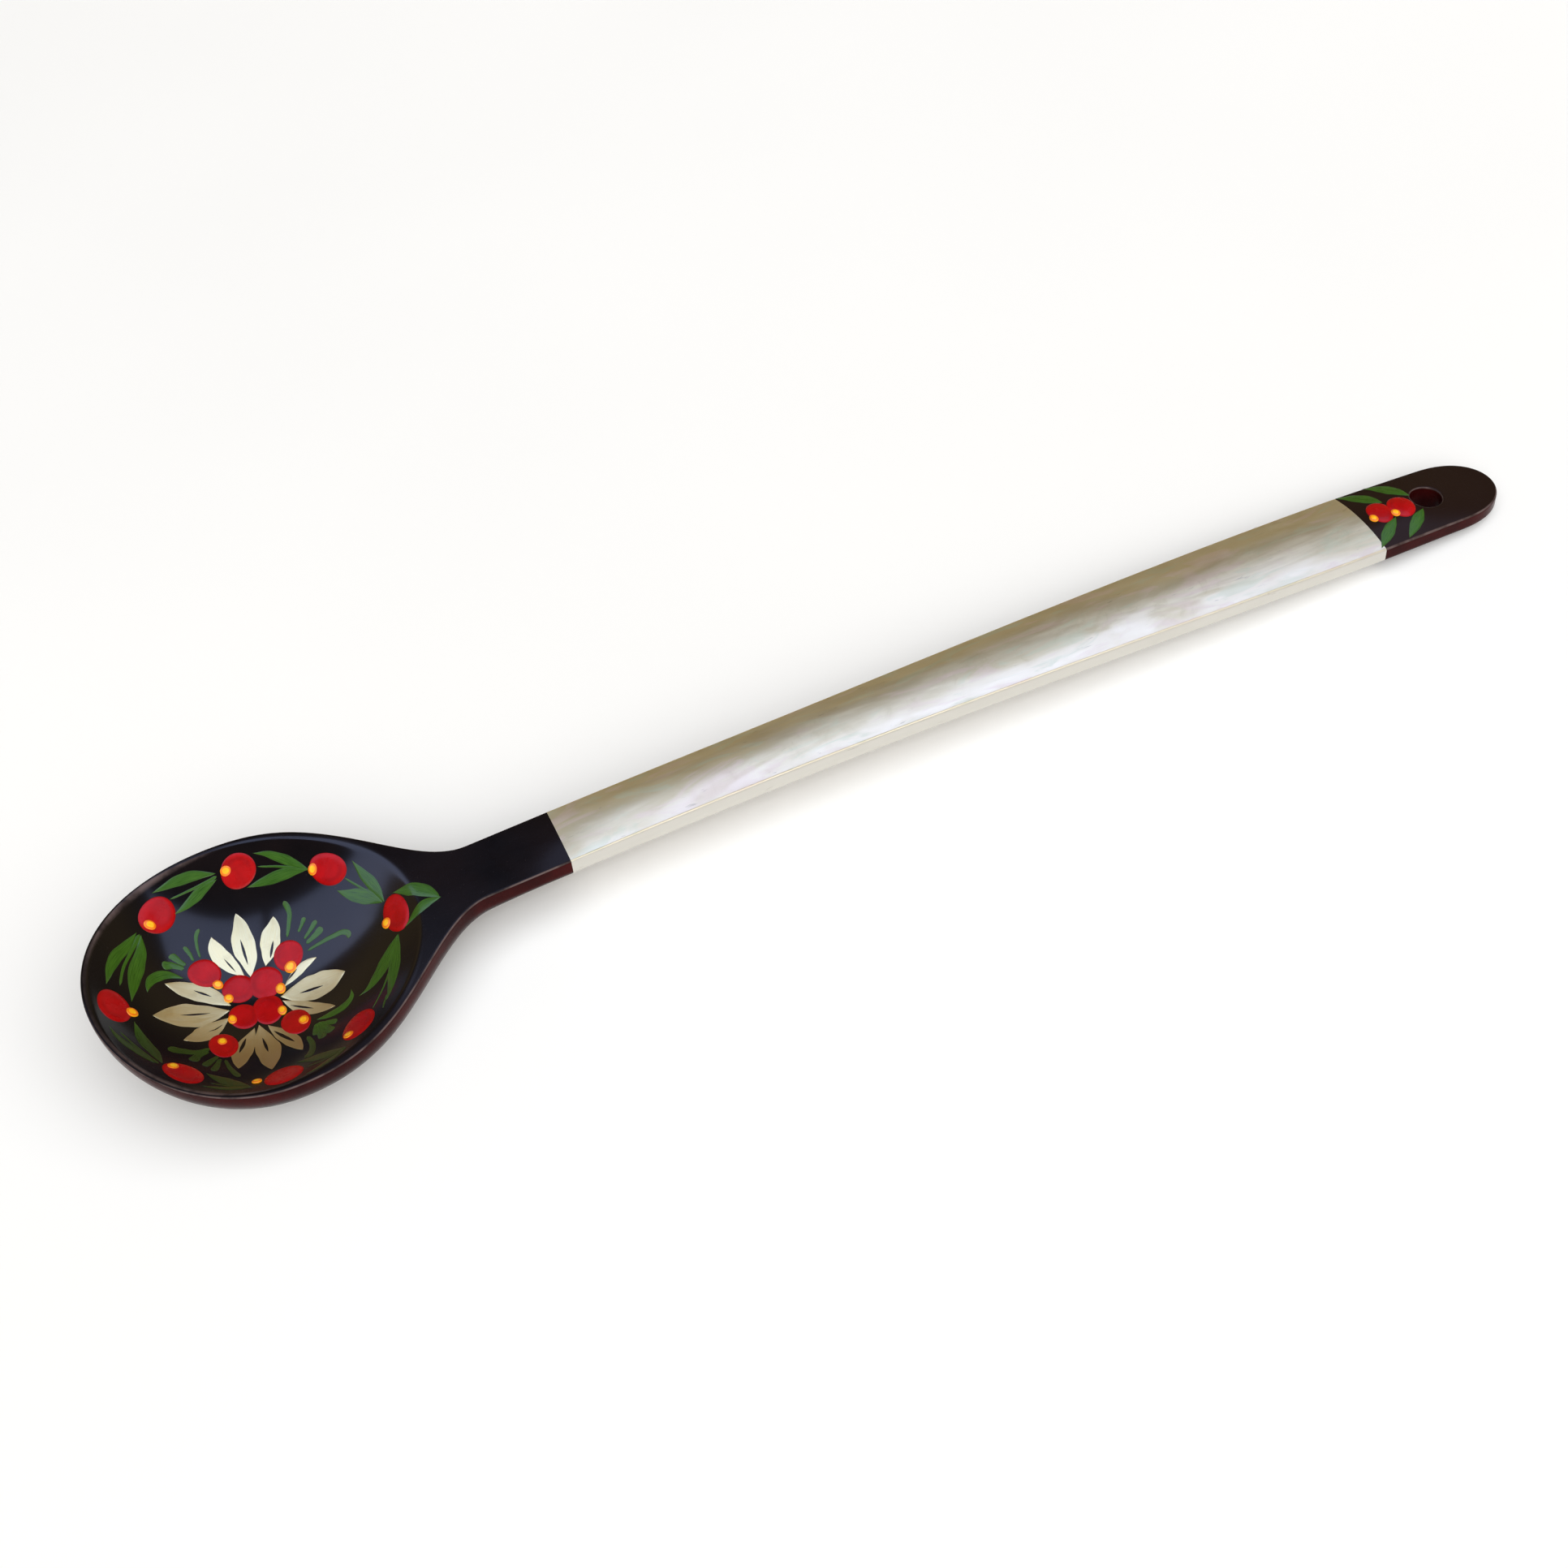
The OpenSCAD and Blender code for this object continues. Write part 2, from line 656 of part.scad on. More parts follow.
// ---- Ornament on the handle's tip ----
tip_leaf_rows = [
    [[[274.9, 2.4], [272.9, 5], [270.8, 7.2], [268.2, 9.1]], 1.5],
    [[[281.1, 1.8], [279.2, 4.9], [277.4, 7], [274.8, 9.2]], 1.5],
    [[[274.6, -2.8], [272.2, -4.6], [269.8, -6.6], [267.2, -8.8]], 1.25],
    [[[281.1, -3], [278.8, -4.8], [276.6, -6.6], [273.9, -8.7]], 1.25]
];
tip_berry_rows = [
    [272.5, 0.1, 2.6, 3.6, 0],
    [277.5, -0.5, 2.8, 3.6, 0]
];
tip_dot_rows = [
    [270.4, -1.1, 0.9, 1.05, 0],
    [275.3, -1.7, 0.9, 1.05, 0]
];

module tip_leaves() {
    color(green)
        laid_down()
            for (row = tip_leaf_rows) stroke(row);
}

module tip_berries() {
    color(red)
        laid_down()
            for (row = tip_berry_rows) dab(row, berry_h, berry_sides);
}

module tip_berry_dots() {
    color(yellow)
        laid_down()
            for (row = tip_dot_rows) dab(row, dot_h, dot_sides, dot_base);
}

wooden_blank();
black_ground_bowl();
silver_ground_handle();
black_ground_tip();
garland_leaves();
garland_stems();
garland_berries();
garland_berry_dots();
flower_petals();
petal_veins();
flower_outer_berries();
flower_outer_dots();
flower_heart_berries();
flower_heart_dots();
grass_sprays();
tip_leaves();
tip_berries();
tip_berry_dots();
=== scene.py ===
"""Painted khokhloma spoon: the looks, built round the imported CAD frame.

The spoon's own frame is the one in which it was carved: x runs from the tip of the bowl to the end
of the handle, y across and z up from the lowest part of the rim, in millimetres. laid_down() takes
points from there to the frame's table, in metres.
"""

import math

import bmesh
import bpy
import numpy as np
from mathutils import Matrix, Vector


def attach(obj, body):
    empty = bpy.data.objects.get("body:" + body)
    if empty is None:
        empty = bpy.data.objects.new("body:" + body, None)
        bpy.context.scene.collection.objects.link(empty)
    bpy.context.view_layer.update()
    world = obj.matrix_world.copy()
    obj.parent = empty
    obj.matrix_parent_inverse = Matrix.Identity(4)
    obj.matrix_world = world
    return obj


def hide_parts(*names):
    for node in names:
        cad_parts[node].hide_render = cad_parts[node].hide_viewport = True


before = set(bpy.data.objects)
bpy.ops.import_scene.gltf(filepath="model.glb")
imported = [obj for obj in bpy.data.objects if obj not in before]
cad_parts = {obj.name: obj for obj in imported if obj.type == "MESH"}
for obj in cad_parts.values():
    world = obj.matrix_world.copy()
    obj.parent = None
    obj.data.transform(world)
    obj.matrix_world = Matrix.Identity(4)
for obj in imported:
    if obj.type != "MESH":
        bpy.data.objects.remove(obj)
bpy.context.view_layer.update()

MM = 0.001

# ---- The spoon's form, as it was carved (millimetres) ----
LENGTH = 300.0
COAT = 0.25
BOWL_W, BOWL_X, BOWL_DEPTH = 63.8, 30.4, 15.0
CAVITY_DEPTH, CAVITY_END_X, CAVITY_SKEW = 10.4, 61.7, -0.17
RIM_W, RIM_EDGE, TIP_LIFT = 1.3, 1.2, 4.8
SHOULDER_X, SHOULDER_START = 74.0, 0.6
NECK_W, NECK_X, NECK_T = 14.4, 122.0, 6.2
HANDLE_W, HANDLE_X, HANDLE_EDGE, HANDLE_RISE = 19.0, 262.0, 2.4, 9.4
END_W, END_ROUND, END_POWER, END_T = 17.6, 13.0, 2.5, 4.8
RISE_X, RISE_CORNER, RISE_POWER = 50.0, 4.0, 2.3
CROWN_H, CROWN_START, CROWN_FULL, CROWN_FADE = 1.2, 80.0, 112.0, 24.0
EDGE_START, EDGE_FULL, KEEL_END_X = 40.0, 85.0, 86.0
HOLE_D, HOLE_X = 6.6, 284.0
NECK_BAND_X, TIP_BAND_X = 90.6, 268.0
LIP = 0.02  # how softly the hollow's edge turns
BLUNT = 0.05  # how much shorter each end is than its pointed mathematical form
EDGE_R = 0.45  # how far the sharp top edge is worn round
HOLE_EDGE_R = 0.4


def clamp01(t):
    return np.clip(t, 0, 1)


def ease(t):
    u = clamp01(t)
    return u * u * (3 - 2 * u)


def mix(a, b, t):
    return a + (b - a) * t


def quarter_round(t):
    return np.sqrt(np.maximum(1 - t * t, 0))


def falling(t):
    return (1 + np.cos(np.pi * clamp01(t))) / 2


def round_end(x):
    return np.sqrt(np.maximum(1 - clamp01(1 - (LENGTH - x) / END_ROUND) ** END_POWER, 0))


def stick_half(x):
    wider = (HANDLE_W - NECK_W) / 2 * ease((x - NECK_X) / (HANDLE_X - NECK_X))
    narrower = (HANDLE_W - END_W) / 2 * ease((x - HANDLE_X) / (LENGTH - HANDLE_X))
    return NECK_W / 2 + wider - narrower


def shoulder(x):
    u = clamp01((x - BOWL_X) / (SHOULDER_X - BOWL_X))
    return falling(u * mix(SHOULDER_START, 1, u))


def half_width(x):
    x = np.asarray(x, float)
    bowl = BOWL_W / 2 * quarter_round(1 - x / BOWL_X)
    rest = mix(stick_half(x), BOWL_W / 2, shoulder(x)) * round_end(x)
    return np.where(x < BOWL_X, bowl, rest)


def past_rise(x):
    return RISE_CORNER / 2 * np.log1p(np.exp(2 * (x - RISE_X) / RISE_CORNER))


def edge_line(x):
    x = np.asarray(x, float)
    left = np.maximum(1 - past_rise(x) / past_rise(LENGTH), 0)
    return HANDLE_RISE * (1 - left**RISE_POWER) + TIP_LIFT * np.maximum(1 - x / BOWL_X, 0) ** 2


CAVITY_HALF_W = BOWL_W / 2 - RIM_W
CAVITY_MID_X = (CAVITY_END_X + RIM_W) / 2
CAVITY_HALF_L = (CAVITY_END_X - RIM_W) / 2
CAVITY_REACH = 1.3  # half lengths from its middle at which the hollow's curve stops


def inside_cavity(x, y):
    """1 in the middle of the hollow, 0 on its edge and below 0 outside it."""
    t = (x - CAVITY_MID_X) / CAVITY_HALF_L
    inside = (1 - t * t) * (1 + CAVITY_SKEW * t) - (y / CAVITY_HALF_W) ** 2
    return np.where(np.abs(t) > CAVITY_REACH, -1.0, inside)


def softened(e):
    return (e + np.sqrt(e * e + LIP * LIP)) / 2


def crown(x):
    rising = ease((x - CROWN_START) / (CROWN_FULL - CROWN_START))
    return CROWN_H * rising * ease((LENGTH - x) / CROWN_FADE)


def upper(x, y):
    v = y / np.maximum(half_width(x), 1e-6)
    dome = crown(x) * np.maximum(1 - v * v, 0)
    return edge_line(x) + dome - CAVITY_DEPTH * softened(inside_cavity(x, y))


def upright_edge(x):
    return mix(RIM_EDGE, HANDLE_EDGE, ease((x - EDGE_START) / (EDGE_FULL - EDGE_START)))


def stick_t(x):
    return mix(NECK_T, END_T, clamp01((x - NECK_X) / (LENGTH - NECK_X)))


def body_t(x):
    x = np.asarray(x, float)
    edge = upright_edge(x)
    bowl = edge + (BOWL_DEPTH - edge) * quarter_round(1 - x / BOWL_X)
    keel = mix(stick_t(x), BOWL_DEPTH, falling((x - BOWL_X) / (KEEL_END_X - BOWL_X)))
    return np.where(x < BOWL_X, bowl, edge + round_end(x) * (keel - edge))


def lower(x, v):
    return edge_line(x) - upright_edge(x) - (body_t(x) - upright_edge(x)) * quarter_round(v)


STEP = 0.01


def from_outline(x, y):
    """About how far (x, y) lies inside the outline."""
    w2 = half_width(x) ** 2
    after, before = half_width(x + STEP) ** 2, half_width(np.maximum(x - STEP, 0)) ** 2
    slope = (after - before) / (2 * STEP)
    steep = np.sqrt(slope**2 + 4 * y * y) + 1e-6
    return np.maximum(w2 - y * y, 0) / steep


def worn(d, r):
    """How far a rounded edge of radius r falls below the sharp one, d from it."""
    return r - np.sqrt(np.maximum(r * r - np.maximum(r - d, 0) ** 2, 0))


# ---- Where it lies on the table ----
BELLY_X, HEEL_X = (10, 71), (200, LENGTH + 1)  # where the spoon may touch it
SETTLINGS = 5


def resting():
    """The tilt and drop of a spoon lying on the back of its bowl and the end of its handle."""
    belly, heel = np.arange(*BELLY_X, 1.0), np.arange(*HEEL_X, 1.0)
    tilt = 0.0

    def height(x):
        return lower(x, 0) * math.cos(tilt) - x * math.sin(tilt)

    for _ in range(SETTLINGS):
        b, h = belly[np.argmin(height(belly))], heel[np.argmin(height(heel))]
        tilt = math.atan2(float(lower(h, 0) - lower(b, 0)), h - b)
    return tilt, float(height(b))


TILT, DROP = resting()
COS, SIN = math.cos(TILT), math.sin(TILT)
FRONT_X = BLUNT * COS + (float(edge_line(0)) - RIM_EDGE) * SIN
BACK_X = (LENGTH - BLUNT) * COS + float(edge_line(LENGTH)) * SIN
MIDDLE_X = (FRONT_X + BACK_X) / 2


def laid_down(p):
    """Points of the spoon's own frame, taken to the table's, in metres."""
    p = np.asarray(p, float)
    x, y, z = mix(BLUNT, LENGTH - BLUNT, p[..., 0] / LENGTH), p[..., 1], p[..., 2]
    return np.stack([x * COS + z * SIN - MIDDLE_X, y, z * COS - x * SIN - DROP], -1) * MM


# ---- Meshes ----
CREASE = math.radians(50)  # edges turned more than this stay crisp
WELD = 1e-8


def linked(name, data):
    """A new object of that data, in the scene."""
    thing = bpy.data.objects.new(name, data)
    bpy.context.scene.collection.objects.link(thing)
    return thing


def mesh_object(name, points, faces, node, values=None):
    """A smooth mesh object in the table's frame, riding on the spoon in place of its CAD node."""
    mesh = bpy.data.meshes.new(name)
    mesh.from_pydata([tuple(p) for p in points], [], faces)
    for key, numbers in (values or {}).items():
        layer = mesh.attributes.new(key, "FLOAT", "POINT")
        layer.data.foreach_set("value", np.asarray(numbers, np.float32))
    bm = bmesh.new()
    bm.from_mesh(mesh)
    bmesh.ops.remove_doubles(bm, verts=bm.verts, dist=WELD)
    bmesh.ops.recalc_face_normals(bm, faces=bm.faces)
    for edge in bm.edges:
        edge.smooth = edge.calc_face_angle(0.0) < CREASE
    bm.to_mesh(mesh)
    bm.free()
    mesh.polygons.foreach_set("use_smooth", [True] * len(mesh.polygons))
    mesh.update()
    piece = linked(name, mesh)
    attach(piece, "root")
    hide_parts(node)
    return piece


def grid_faces(rows, size, first=0, flip=False):
    """Quads between rows of points, each row closed on itself."""
    faces = []
    for i in range(rows - 1):
        for j in range(size):
            a = first + i * size + j
            b = first + i * size + (j + 1) % size
            quad = (a, b, b + size, a + size)
            faces.append(quad[::-1] if flip else quad)
    return faces


def band(loop, other):
    """Quads between two closed loops of as many points."""
    after = loop[1:] + loop[:1], other[1:] + other[:1]
    return [(a, b, d, c) for a, b, c, d in zip(loop, after[0], other, after[1])]


FINE_ALONG, FINE_ACROSS = 40001, 3001  # steps in which the crowding of points is added up
CROWD, WOOD_CROWD = 5.0, 1.6  # how much rows crowd where the form turns quickly
TURN, LIP_TURN = 1e-3, 2e-2  # millimetres over which that crowding levels off
LIP_BEFORE, LIP_AFTER = 0.4, 0.5  # how far past the ends of the hollow it goes on


def spaced(lo, hi, density, steps=FINE_ALONG, count=None):
    """Places from lo to hi, crowded where density(x) says, in places a millimetre."""
    fine = np.linspace(lo, hi, steps)
    mid = (fine[1:] + fine[:-1]) / 2
    total = np.concatenate([[0], np.cumsum(density(mid) * np.diff(fine))])
    count = count or max(int(math.ceil(total[-1])), 2)
    return np.interp(np.linspace(0, total[-1], count + 1), total, fine)


def row_density(x, crowd, base):
    """Rows of points a millimetre: more at both ends of the spoon and of the hollow."""
    from_start, from_end = np.abs(x - RIM_W), np.abs(x - CAVITY_END_X)
    near_tip = crowd / np.sqrt(x + TURN) * (x < BOWL_X)
    near_start = crowd / np.sqrt(from_start + LIP_TURN) * (x < BOWL_X) * (x > RIM_W - LIP_BEFORE)
    near_end = crowd / np.sqrt(from_end + LIP_TURN)
    near_end = near_end * (x > BOWL_X) * (x < CAVITY_END_X + LIP_AFTER)
    near_last = crowd / np.sqrt(LENGTH - x + TURN) * (x > LENGTH - END_ROUND)
    return base + near_tip + near_start + near_end + near_last


TOP_HALF, UNDER_HALF = 64, 30  # cells from the middle to the edge, above and beneath
EVEN_CELLS = 34
LIP_CROWD, LIP_SPREAD, LIP_FADE = 9.0, 0.45, 12.0  # points crowd at the hollow's edge
EDGE_CROWD, EDGE_SPREAD, EDGE_TURN = 3.2, 0.8, 2e-3  # and at the outline
SIDE_ROWS = 3
UNDER_V = np.sin(np.linspace(0, np.pi / 2, UNDER_HALF + 1))


def across_bowl(x):
    """Places from the middle to the edge, crowded at the hollow's edge and at the outline."""
    w = float(half_width(x))
    if w < 1e-6:
        return np.zeros(TOP_HALF + 1)
    lip_y = CAVITY_HALF_W * math.sqrt(max(float(inside_cavity(x, 0.0)), 0))
    fade = float(1 - ease((x - CAVITY_END_X) / LIP_FADE))

    def density(y):
        at_lip = LIP_CROWD * fade / (1 + ((y - lip_y) / LIP_SPREAD) ** 2)
        at_edge = EDGE_CROWD / np.sqrt(w - y + EDGE_TURN) / (1 + ((w - y) / EDGE_SPREAD) ** 2)
        return EVEN_CELLS / w + at_lip + at_edge

    return spaced(0, w, density, FINE_ACROSS, TOP_HALF)


def finished_top(x, y):
    """The lacquer's surface from above, its sharp edge worn round."""
    return upper(x, y) - worn(from_outline(x, y), EDGE_R)


def ring(x, top_y, under_v):
    """A closed row round the spoon: over the top from -y to +y, down the side and back beneath."""
    w = float(half_width(x))
    y = np.concatenate([-top_y[:0:-1], top_y])
    xs = np.full_like(y, x)
    over = np.stack([xs, y, finished_top(xs, y)], -1)
    edge = float(edge_line(x))
    side_z = np.linspace(edge - EDGE_R, edge - float(upright_edge(x)), SIDE_ROWS + 2)[1:-1]
    side = np.stack([np.full(SIDE_ROWS, x), np.full(SIDE_ROWS, w), side_z], -1)
    v = np.concatenate([under_v[::-1], -under_v[1:]])
    under = np.stack([np.full_like(v, x), v * w, lower(np.full_like(v, x), v)], -1)
    return np.concatenate([over, side, under, side[::-1] * [1, -1, 1]])


def vertex_normals(points, faces):
    """Outward normals, with points that coincide sharing one."""
    keys = np.unique(np.round(points, 6), axis=0, return_inverse=True)[1].ravel()
    quads = np.array(faces)
    a, b, c, d = (points[quads[:, k]] for k in range(4))
    flat = np.cross(c - a, d - b)
    total = np.zeros((keys.max() + 1, 3))
    for k in range(4):
        np.add.at(total, keys[quads[:, k]], flat)
    n = total[keys]
    return n / np.maximum(np.linalg.norm(n, axis=1), 1e-12)[:, None]


BACK_DEPTH = 0.98 * COAT  # just short of the wood, so that the two don't share a surface


def skin(outer, faces, open_rows):
    """A closed coat of lacquer: its face, its back and strips along its open rows."""
    inner = outer - BACK_DEPTH * vertex_normals(outer, faces)
    below = len(outer)
    faces = faces + [tuple(k + below for k in f[::-1]) for f in faces]
    for row in open_rows:
        faces += band(row, [k + below for k in row])
    return np.concatenate([outer, inner]), faces


def tube(stations, across, under_v):
    """The surface of a stretch of the spoon, as points, faces and the size of one ring."""
    rings = [ring(x, across(x), under_v) for x in stations]
    size = len(rings[0])
    return np.concatenate(rings), grid_faces(len(rings), size, flip=True), size


# ---- The stretch with the hanging hole ----
HOLE_STEPS = 12  # cells across half the field in which the hole is cut
EDGE_STEPS, EDGE_EASE = 16, 2.2
FIELD_V = 0.65  # how far that field reaches across the handle
FIELD_X = 5.2
COLLAR_RINGS, COLLAR_EASE = 9, 1.8
BORE_RINGS = 6

FIELD = np.linspace(0, FIELD_V, HOLE_STEPS + 1)
TIP_TOP_V = np.concatenate(
    [FIELD, 1 - (1 - FIELD_V) * (1 - np.arange(1, EDGE_STEPS + 1) / EDGE_STEPS) ** EDGE_EASE]
)
TIP_UNDER_V = np.concatenate(
    [FIELD, np.sin(np.linspace(math.asin(FIELD_V), np.pi / 2, EDGE_STEPS // 2 + 1)[1:])]
)


def collar_ring(side, direction, far):
    """A loop round the hanging hole, far from its wall, on the top or under the handle."""
    x, y = (direction * (HOLE_D / 2 + far)[:, None] + [HOLE_X, 0]).T
    if side == "top":
        z = finished_top(x, y) - worn(far, HOLE_EDGE_R)
    else:
        z = lower(x, y / half_width(x)) + worn(far, HOLE_EDGE_R)
    return np.stack([x, y, z], -1)


def tube_with_hole(stations):
    """The end of the handle, its hanging hole cut through with rounded edges and a lined wall."""
    points, faces, size = tube(stations, lambda x: TIP_TOP_V * float(half_width(x)), TIP_UNDER_V)
    i0 = int(np.argmin(np.abs(stations - (HOLE_X - FIELD_X))))
    i1 = int(np.argmin(np.abs(stations - (HOLE_X + FIELD_X))))
    top_mid = len(TIP_TOP_V) - 1
    under_mid = 2 * len(TIP_TOP_V) - 1 + SIDE_ROWS + len(TIP_UNDER_V) - 1
    columns = {
        "top": [top_mid + k for k in range(-HOLE_STEPS, HOLE_STEPS + 1)],
        "under": [under_mid - k for k in range(-HOLE_STEPS, HOLE_STEPS + 1)],
    }
    last = 2 * HOLE_STEPS
    cut = set()
    for cols in columns.values():
        cut |= {(i, min(cols) + j) for i in range(i0, i1) for j in range(last)}
    faces = [f for k, f in enumerate(faces) if (k // size, k % size) not in cut]
    extra, loops = [points], {}

    def fresh_loop(ring_points):
        first = sum(len(part) for part in extra)
        extra.append(ring_points)
        return list(range(first, first + len(ring_points)))

    for side, cols in columns.items():
        around = (
            [(i0, j) for j in range(last)]
            + [(i, last) for i in range(i0, i1)]
            + [(i1, j) for j in range(last, 0, -1)]
            + [(i, 0) for i in range(i1, i0, -1)]
        )
        loop = [i * size + cols[j] for i, j in around]
        away = points[loop][:, :2] - [HOLE_X, 0]
        reach = np.linalg.norm(away, axis=1)
        for k in range(1, COLLAR_RINGS + 1):
            far = (reach - HOLE_D / 2) * (1 - k / COLLAR_RINGS) ** COLLAR_EASE
            fresh = fresh_loop(collar_ring(side, away / reach[:, None], far))
            faces += band(loop, fresh) if side == "under" else band(fresh, loop)
            loop = fresh
        loops[side] = (loop, extra[-1])
    (loop, upper_rim), (bottom, lower_rim) = loops["top"], loops["under"]
    for k in range(1, BORE_RINGS):
        fresh = fresh_loop(mix(upper_rim, lower_rim, k / BORE_RINGS))
        faces += band(fresh, loop)
        loop = fresh
    faces += band(bottom, loop)
    return np.concatenate(extra), faces, size


# ---- Wood and grounds ----
BOWL_ROWS, HANDLE_ROWS, TIP_ROWS = 0.9, 0.55, 1.3  # rows a millimetre away from any crowding
WOOD_ROWS, WOOD_TIP_ROWS = 0.4, 0.6


def ground(name, node, stations, surface, at_start, at_end):
    """A coat of lacquer over a stretch of the spoon, open where it meets its neighbours."""
    points, faces, size = surface
    first = list(range(size))
    last = [(len(stations) - 1) * size + j for j in first]
    points, faces = skin(points, faces, [first] * at_start + [last] * at_end)
    return mesh_object(name, laid_down(points), faces, node)


bowl_stations = spaced(0, NECK_BAND_X, lambda x: row_density(x, CROWD, BOWL_ROWS))
handle_stations = spaced(NECK_BAND_X, TIP_BAND_X, lambda x: np.full_like(x, HANDLE_ROWS))
tip_stations = spaced(TIP_BAND_X, LENGTH, lambda x: row_density(x, CROWD, TIP_ROWS))

bowl_ground = ground(
    "bowl_black_lacquer", "black_ground_bowl", bowl_stations,
    tube(bowl_stations, across_bowl, UNDER_V), False, True,
)
handle_ground = ground(
    "handle_silver_lacquer", "silver_ground_handle", handle_stations,
    tube(handle_stations, across_bowl, UNDER_V), True, True,
)
tip_ground = ground(
    "tip_black_lacquer", "black_ground_tip", tip_stations,
    tube_with_hole(tip_stations), True, False,
)

blank_stations = np.concatenate(
    [
        spaced(0, TIP_BAND_X, lambda x: row_density(x, WOOD_CROWD, WOOD_ROWS)),
        spaced(TIP_BAND_X, LENGTH, lambda x: row_density(x, WOOD_CROWD, WOOD_TIP_ROWS))[1:],
    ]
)
points, faces, _ = tube(blank_stations, lambda x: across_bowl(x)[::2], UNDER_V[::2])
points = points - COAT * vertex_normals(points, faces)
blank = mesh_object("carved_wood_blank", laid_down(points), faces, "wooden_blank")

DRILL_SIDES, DRILL_FROM, DRILL_TO = 64, -20, 40


def drilled(piece, radius):
    """Drills the hanging hole through piece."""
    turn = np.linspace(0, 2 * np.pi, DRILL_SIDES, endpoint=False)
    rim = [[HOLE_X + radius * math.cos(a), radius * math.sin(a)] for a in turn]
    rows = laid_down([[x, y, z] for z in (DRILL_FROM, DRILL_TO) for x, y in rim])
    bottom, top = list(range(DRILL_SIDES)), list(range(DRILL_SIDES, 2 * DRILL_SIDES))
    mesh = bpy.data.meshes.new("drill")
    ends = [tuple(bottom[::-1]), tuple(top)]
    mesh.from_pydata([tuple(p) for p in rows], [], band(bottom, top) + ends)
    drill = linked("drill", mesh)
    cut = piece.modifiers.new("hole", "BOOLEAN")
    cut.operation, cut.object, cut.solver = "DIFFERENCE", drill, "EXACT"
    graph = bpy.context.evaluated_depsgraph_get()
    cut_mesh = bpy.data.meshes.new_from_object(piece.evaluated_get(graph))
    piece.modifiers.clear()
    piece.data = cut_mesh
    bpy.data.objects.remove(drill)


drilled(blank, HOLE_D / 2 + COAT)

# ---- Paint ----
STROKE_H, BERRY_H, DOT_H, DOT_BASE = 0.07, 0.24, 0.2, 0.14
STEM_H, PETAL_H, GRASS_H, SLIT_H = 0.05, 0.06, 0.06, 0.09
SINK = 0.03  # how far each stroke's foot goes into the lacquer
NEAR_EDGE = 0.06  # paint stops this short of the outline
PROBE = 0.02  # half the distance over which the surface's slope is taken


def on_lacquer(x, y, h):
    """Points h above the finished surface, square to it."""
    w = half_width(x) - NEAR_EDGE
    y = np.clip(y, -w, w)
    inward = np.clip(y, -w + PROBE, w - PROBE)
    dx = (upper(x + PROBE, inward) - upper(x - PROBE, inward)) / (2 * PROBE)
    dy = (upper(x, inward + PROBE) - upper(x, inward - PROBE)) / (2 * PROBE)
    n = np.stack([-dx, -dy, np.ones_like(dx)], -1)
    n /= np.linalg.norm(n, axis=-1)[..., None]
    return np.stack([x, y, finished_top(x, y)], -1) + n * np.asarray(h)[..., None]


LINE_STEPS = 12


def through(places, steps):
    """A smooth line of steps + 1 points through a few places."""
    p = np.array(places, float)
    if len(p) == 2:
        p = np.array([p[0], (p[0] + p[1]) / 2, p[1]])
    p = np.concatenate([[2 * p[0] - p[1]], p, [2 * p[-1] - p[-2]]])
    spans = len(p) - 3
    line = []
    for t in np.linspace(0, spans, LINE_STEPS * spans + 1):
        k = min(int(t), spans - 1)
        u = t - k
        a, b, c, d = p[k : k + 4]
        square, cube = 2 * a - 5 * b + 4 * c - d, 3 * b - a - 3 * c + d
        line.append(0.5 * (2 * b + (c - a) * u + square * u**2 + cube * u**3))
    line = np.array(line)
    far = np.concatenate([[0], np.cumsum(np.linalg.norm(np.diff(line, axis=0), axis=1))])
    at = np.linspace(0, far[-1], steps + 1)
    return np.stack([np.interp(at, far, line[:, k]) for k in (0, 1)], -1)


# How wide a stroke is along its length, from where the brush lands to where it lifts
SHAPES = {
    "leaf": lambda s: np.sin(np.pi * s**0.88) ** 1.05,
    "petal": lambda s: np.sin(np.pi * s**1.12) ** 0.85,
    "grass": lambda s: mix(0.45, 1, s) * quarter_round(clamp01((s - 0.8) / 0.2)) ** 0.8
    * clamp01(s / 0.06),
    "stem": lambda s: mix(1, 0.5, s) * clamp01(s / 0.04) * clamp01((1 - s) / 0.08),
    "slit": lambda s: np.sin(np.pi * s) ** 0.8,
}
STROKE_STEPS = 30
ACROSS = np.linspace(-1, 1, 9)
DOME_FOOT = 0.35  # height at a stroke's edges, as a part of its height in the middle
SWAY, TREMBLE = 0.05, 0.03  # how unevenly a brush runs
ANY_PHASE = 6.28
LEFT_RATES, RIGHT_RATES = (9, 23), (8, 21)


def uneven(s, rates, phases):
    sway = SWAY * math.sin(rates[0] * s + phases[0])
    return 1 + sway + TREMBLE * math.sin(rates[1] * s + phases[1])


